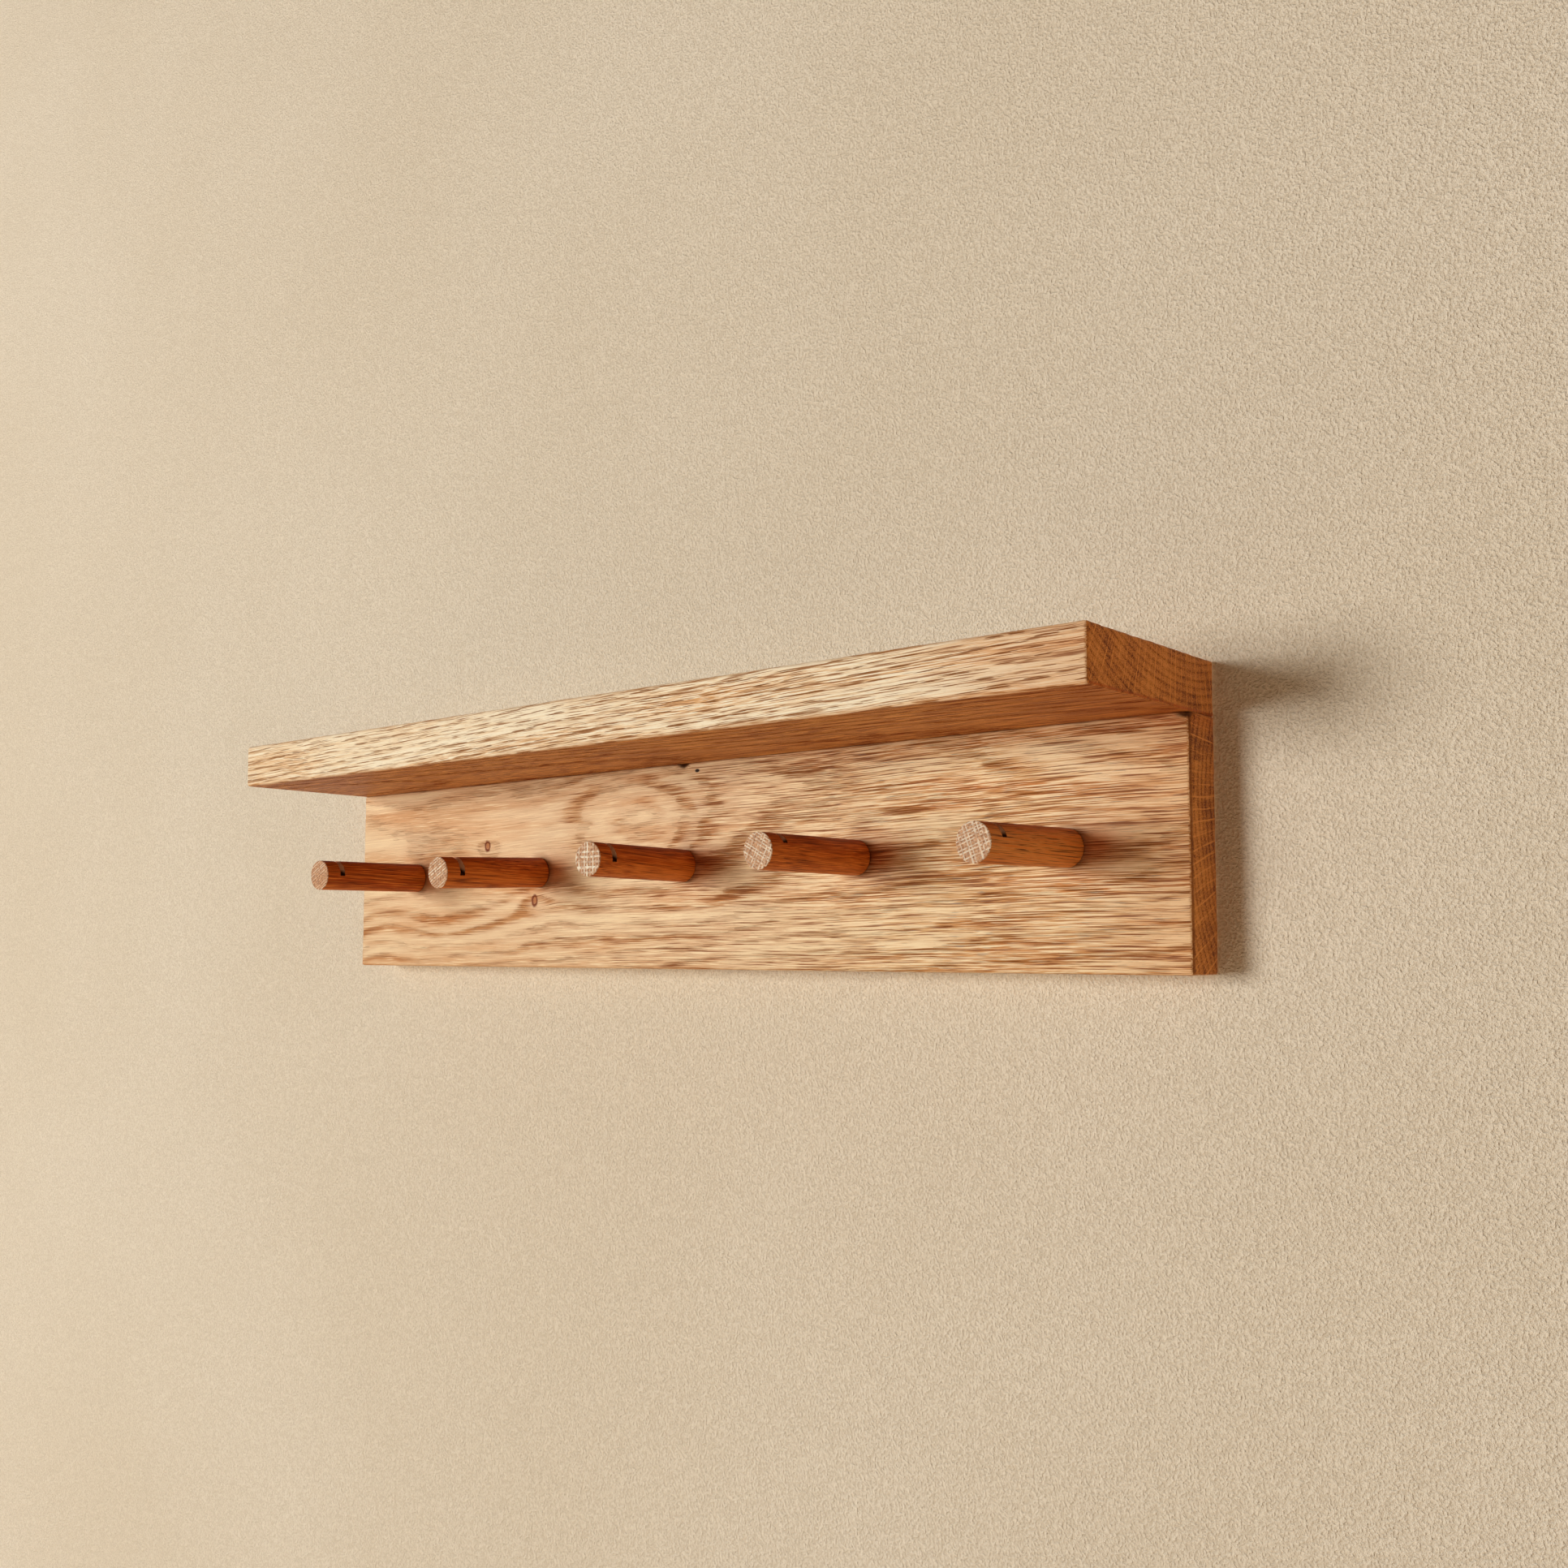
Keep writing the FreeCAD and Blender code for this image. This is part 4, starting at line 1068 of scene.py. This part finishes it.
def make_wall():
    """The wall: painted plaster with the fine stipple of a roller. From behind it is clear, so that the back
    of the rail can be seen, and it stops no light but shows the shadows that fall on it."""
    material, w, place, _ = new_material("painted_wall")
    stipple = w.noise(place, STIPPLE_SIZE, 1.0, 0.6)
    colour = w.blend(w.ramp(w.noise(place, CLOUD_SIZE), 0.3, 0.7, 0.0, 0.25), WALL_PALE, WALL_CLOUD)
    # Painted shade in the stipple's pits, darker where the relief is low.
    colour = w.blend(w.ramp(stipple, 0.66, 0.34, 0.0, 0.38), colour, WALL_PIT_PAINTED_SHADE)
    rough = w.ramp(stipple, 0.3, 0.7, 0.6, 0.75)
    shader, output = dress(w, colour, rough, stipple, STIPPLE_DEPTH)
    from_behind = w.node("ShaderNodeNewGeometry").outputs["Backfacing"]
    clear = w.node("ShaderNodeBsdfTransparent").outputs[0]
    both = w.node("ShaderNodeMixShader", {0: from_behind, 1: shader, 2: clear})
    w.tree.links.new(both.outputs[0], output)
    left, right, low, high = -WALL_REACH, WALL_REACH, -FLOOR_DROP, WALL_REACH
    corners = [(left, low), (right, low), (right, high), (left, high)]
    wall = make_plane("wall", [(x, WALL_GAP, z) for x, z in corners], material)
    wall.visible_glossy = False
    wall.visible_shadow = False


def make_floor():
    """The floor: pale, with a faint grain, and lit a little by itself where the camera looks at it."""
    material, w, place, _ = new_material("pale_floor")
    grain = w.noise(place, (8.0, 8.0, 8.0), 3.0)
    colour = w.blend(w.ramp(grain, 0.3, 0.7, 0.0, 0.3), FLOOR_PALE, FLOOR_GRAIN)
    rough = w.ramp(grain, 0.3, 0.7, 0.5, 0.7)
    seen = w.node("ShaderNodeLightPath").outputs["Is Camera Ray"]
    glow = w.blend(seen, (0, 0, 0, 1), FLOOR_GLOW)
    dress(w, colour, rough, grain, 0.1, Emission_Color=glow, Emission_Strength=1.0)
    near, far = -WALL_REACH, WALL_REACH
    corners = [(near, near), (far, near), (far, far), (near, far)]
    make_plane("floor", [(x, y, -FLOOR_DROP) for x, y in corners], material)


# The lamps: name, place and size in metres, watts and colour. They all aim at the rail. The window stands to
# the left in front of it, the fill is the warm light of the room from the right, and the back lamp stands
# behind the wall and reaches only what faces it.
LAMPS = [
    ("window", (-2.4, -4.05, 0.2), 1.8, 166, (1.0, 0.985, 0.95)),
    ("warm_fill", (3.1, -0.75, -0.9), 1.5, 10, (1.0, 0.62, 0.34)),
    ("back_lamp", (-1.6, 3.2, 1.3), 1.6, 100, (1.0, 0.98, 0.95)),
]
LAMP_AIM = Vector((0, -0.03, 0))
ROOM_COLOUR = (1.0, 0.68, 0.42, 1)
ROOM_STRENGTH = 0.14
BACKDROP = paint(236, 228, 214)


def make_lights():
    for name, place, size, watts, colour in LAMPS:
        light = bpy.data.lights.new(name, "AREA")
        light.shape = "DISK"
        light.size = size
        light.energy = watts
        light.color = colour
        lamp = bpy.data.objects.new(name, light)
        lamp.location = place
        lamp.rotation_euler = (LAMP_AIM - Vector(place)).to_track_quat("-Z", "Y").to_euler()
        bpy.context.scene.collection.objects.link(lamp)
    world = bpy.data.worlds.new("room")
    bpy.context.scene.world = world
    world.use_nodes = True
    w = Wiring(world.node_tree)
    path = w.node("ShaderNodeLightPath").outputs
    seen = w.add(path["Is Camera Ray"], path["Is Glossy Ray"], path["Is Transmission Ray"])
    room = w.node("ShaderNodeBackground", {"Color": ROOM_COLOUR, "Strength": ROOM_STRENGTH})
    backdrop = w.node("ShaderNodeBackground", {"Color": BACKDROP, "Strength": 1.0})
    mixed = w.node("ShaderNodeMixShader", {0: seen, 1: room.outputs[0], 2: backdrop.outputs[0]})
    w.node("ShaderNodeOutputWorld", {"Surface": mixed.outputs[0]})


# The camera, from the photograph's own perspective.
CAMERA_PLACE = Vector((0.491102, -0.534786, -0.038058))
CAMERA_YAW = math.radians(-39.9316)
CAMERA_PITCH = math.radians(4.2563)
CAMERA_ROLL = math.radians(0.054)
CAMERA_LENS = 35.352
CAMERA_SHIFT_X = -0.00104
CAMERA_SHIFT_Y = 0.03196


def make_camera():
    """The camera starts out looking straight down. It is rolled, raised, turned and put in its place."""
    data = bpy.data.cameras.new("camera")
    data.lens = CAMERA_LENS
    data.shift_x = CAMERA_SHIFT_X
    data.shift_y = CAMERA_SHIFT_Y
    data.clip_start = 0.01
    camera = bpy.data.objects.new("camera", data)
    rolled = Matrix.Rotation(CAMERA_ROLL, 4, "Z")
    raised = Matrix.Rotation(math.pi / 2 + CAMERA_PITCH, 4, "X") @ rolled
    turned = Matrix.Rotation(-CAMERA_YAW, 4, "Z") @ raised
    camera.matrix_world = Matrix.Translation(CAMERA_PLACE) @ turned
    bpy.context.scene.collection.objects.link(camera)
    bpy.context.scene.camera = camera


def main():
    make_camera()
    make_lights()
    make_wall()
    make_floor()
    make_back_rail(rail_material())
    make_shelf(shelf_material())
    for name in PEG_NAMES:
        make_peg(name, peg_material(name))
    dress_nodes(DOWEL_NAMES, beech_material())
    plated = steel_material("zinc_plated_steel", paint(214, 214, 210), paint(184, 184, 180), 0.12)
    screw = steel_material("screw_steel", paint(206, 200, 186), paint(170, 166, 156), 0.3)
    dress_nodes(PLATE_NAMES, plated)
    dress_nodes(SCREW_NAMES, screw)
    bpy.context.scene.view_settings.view_transform = "Standard"


main()
boxes = {"cad": cad_box, "visual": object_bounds()}
boxes = {name: [list(map(float, corner)) for corner in box] for name, box in boxes.items()}
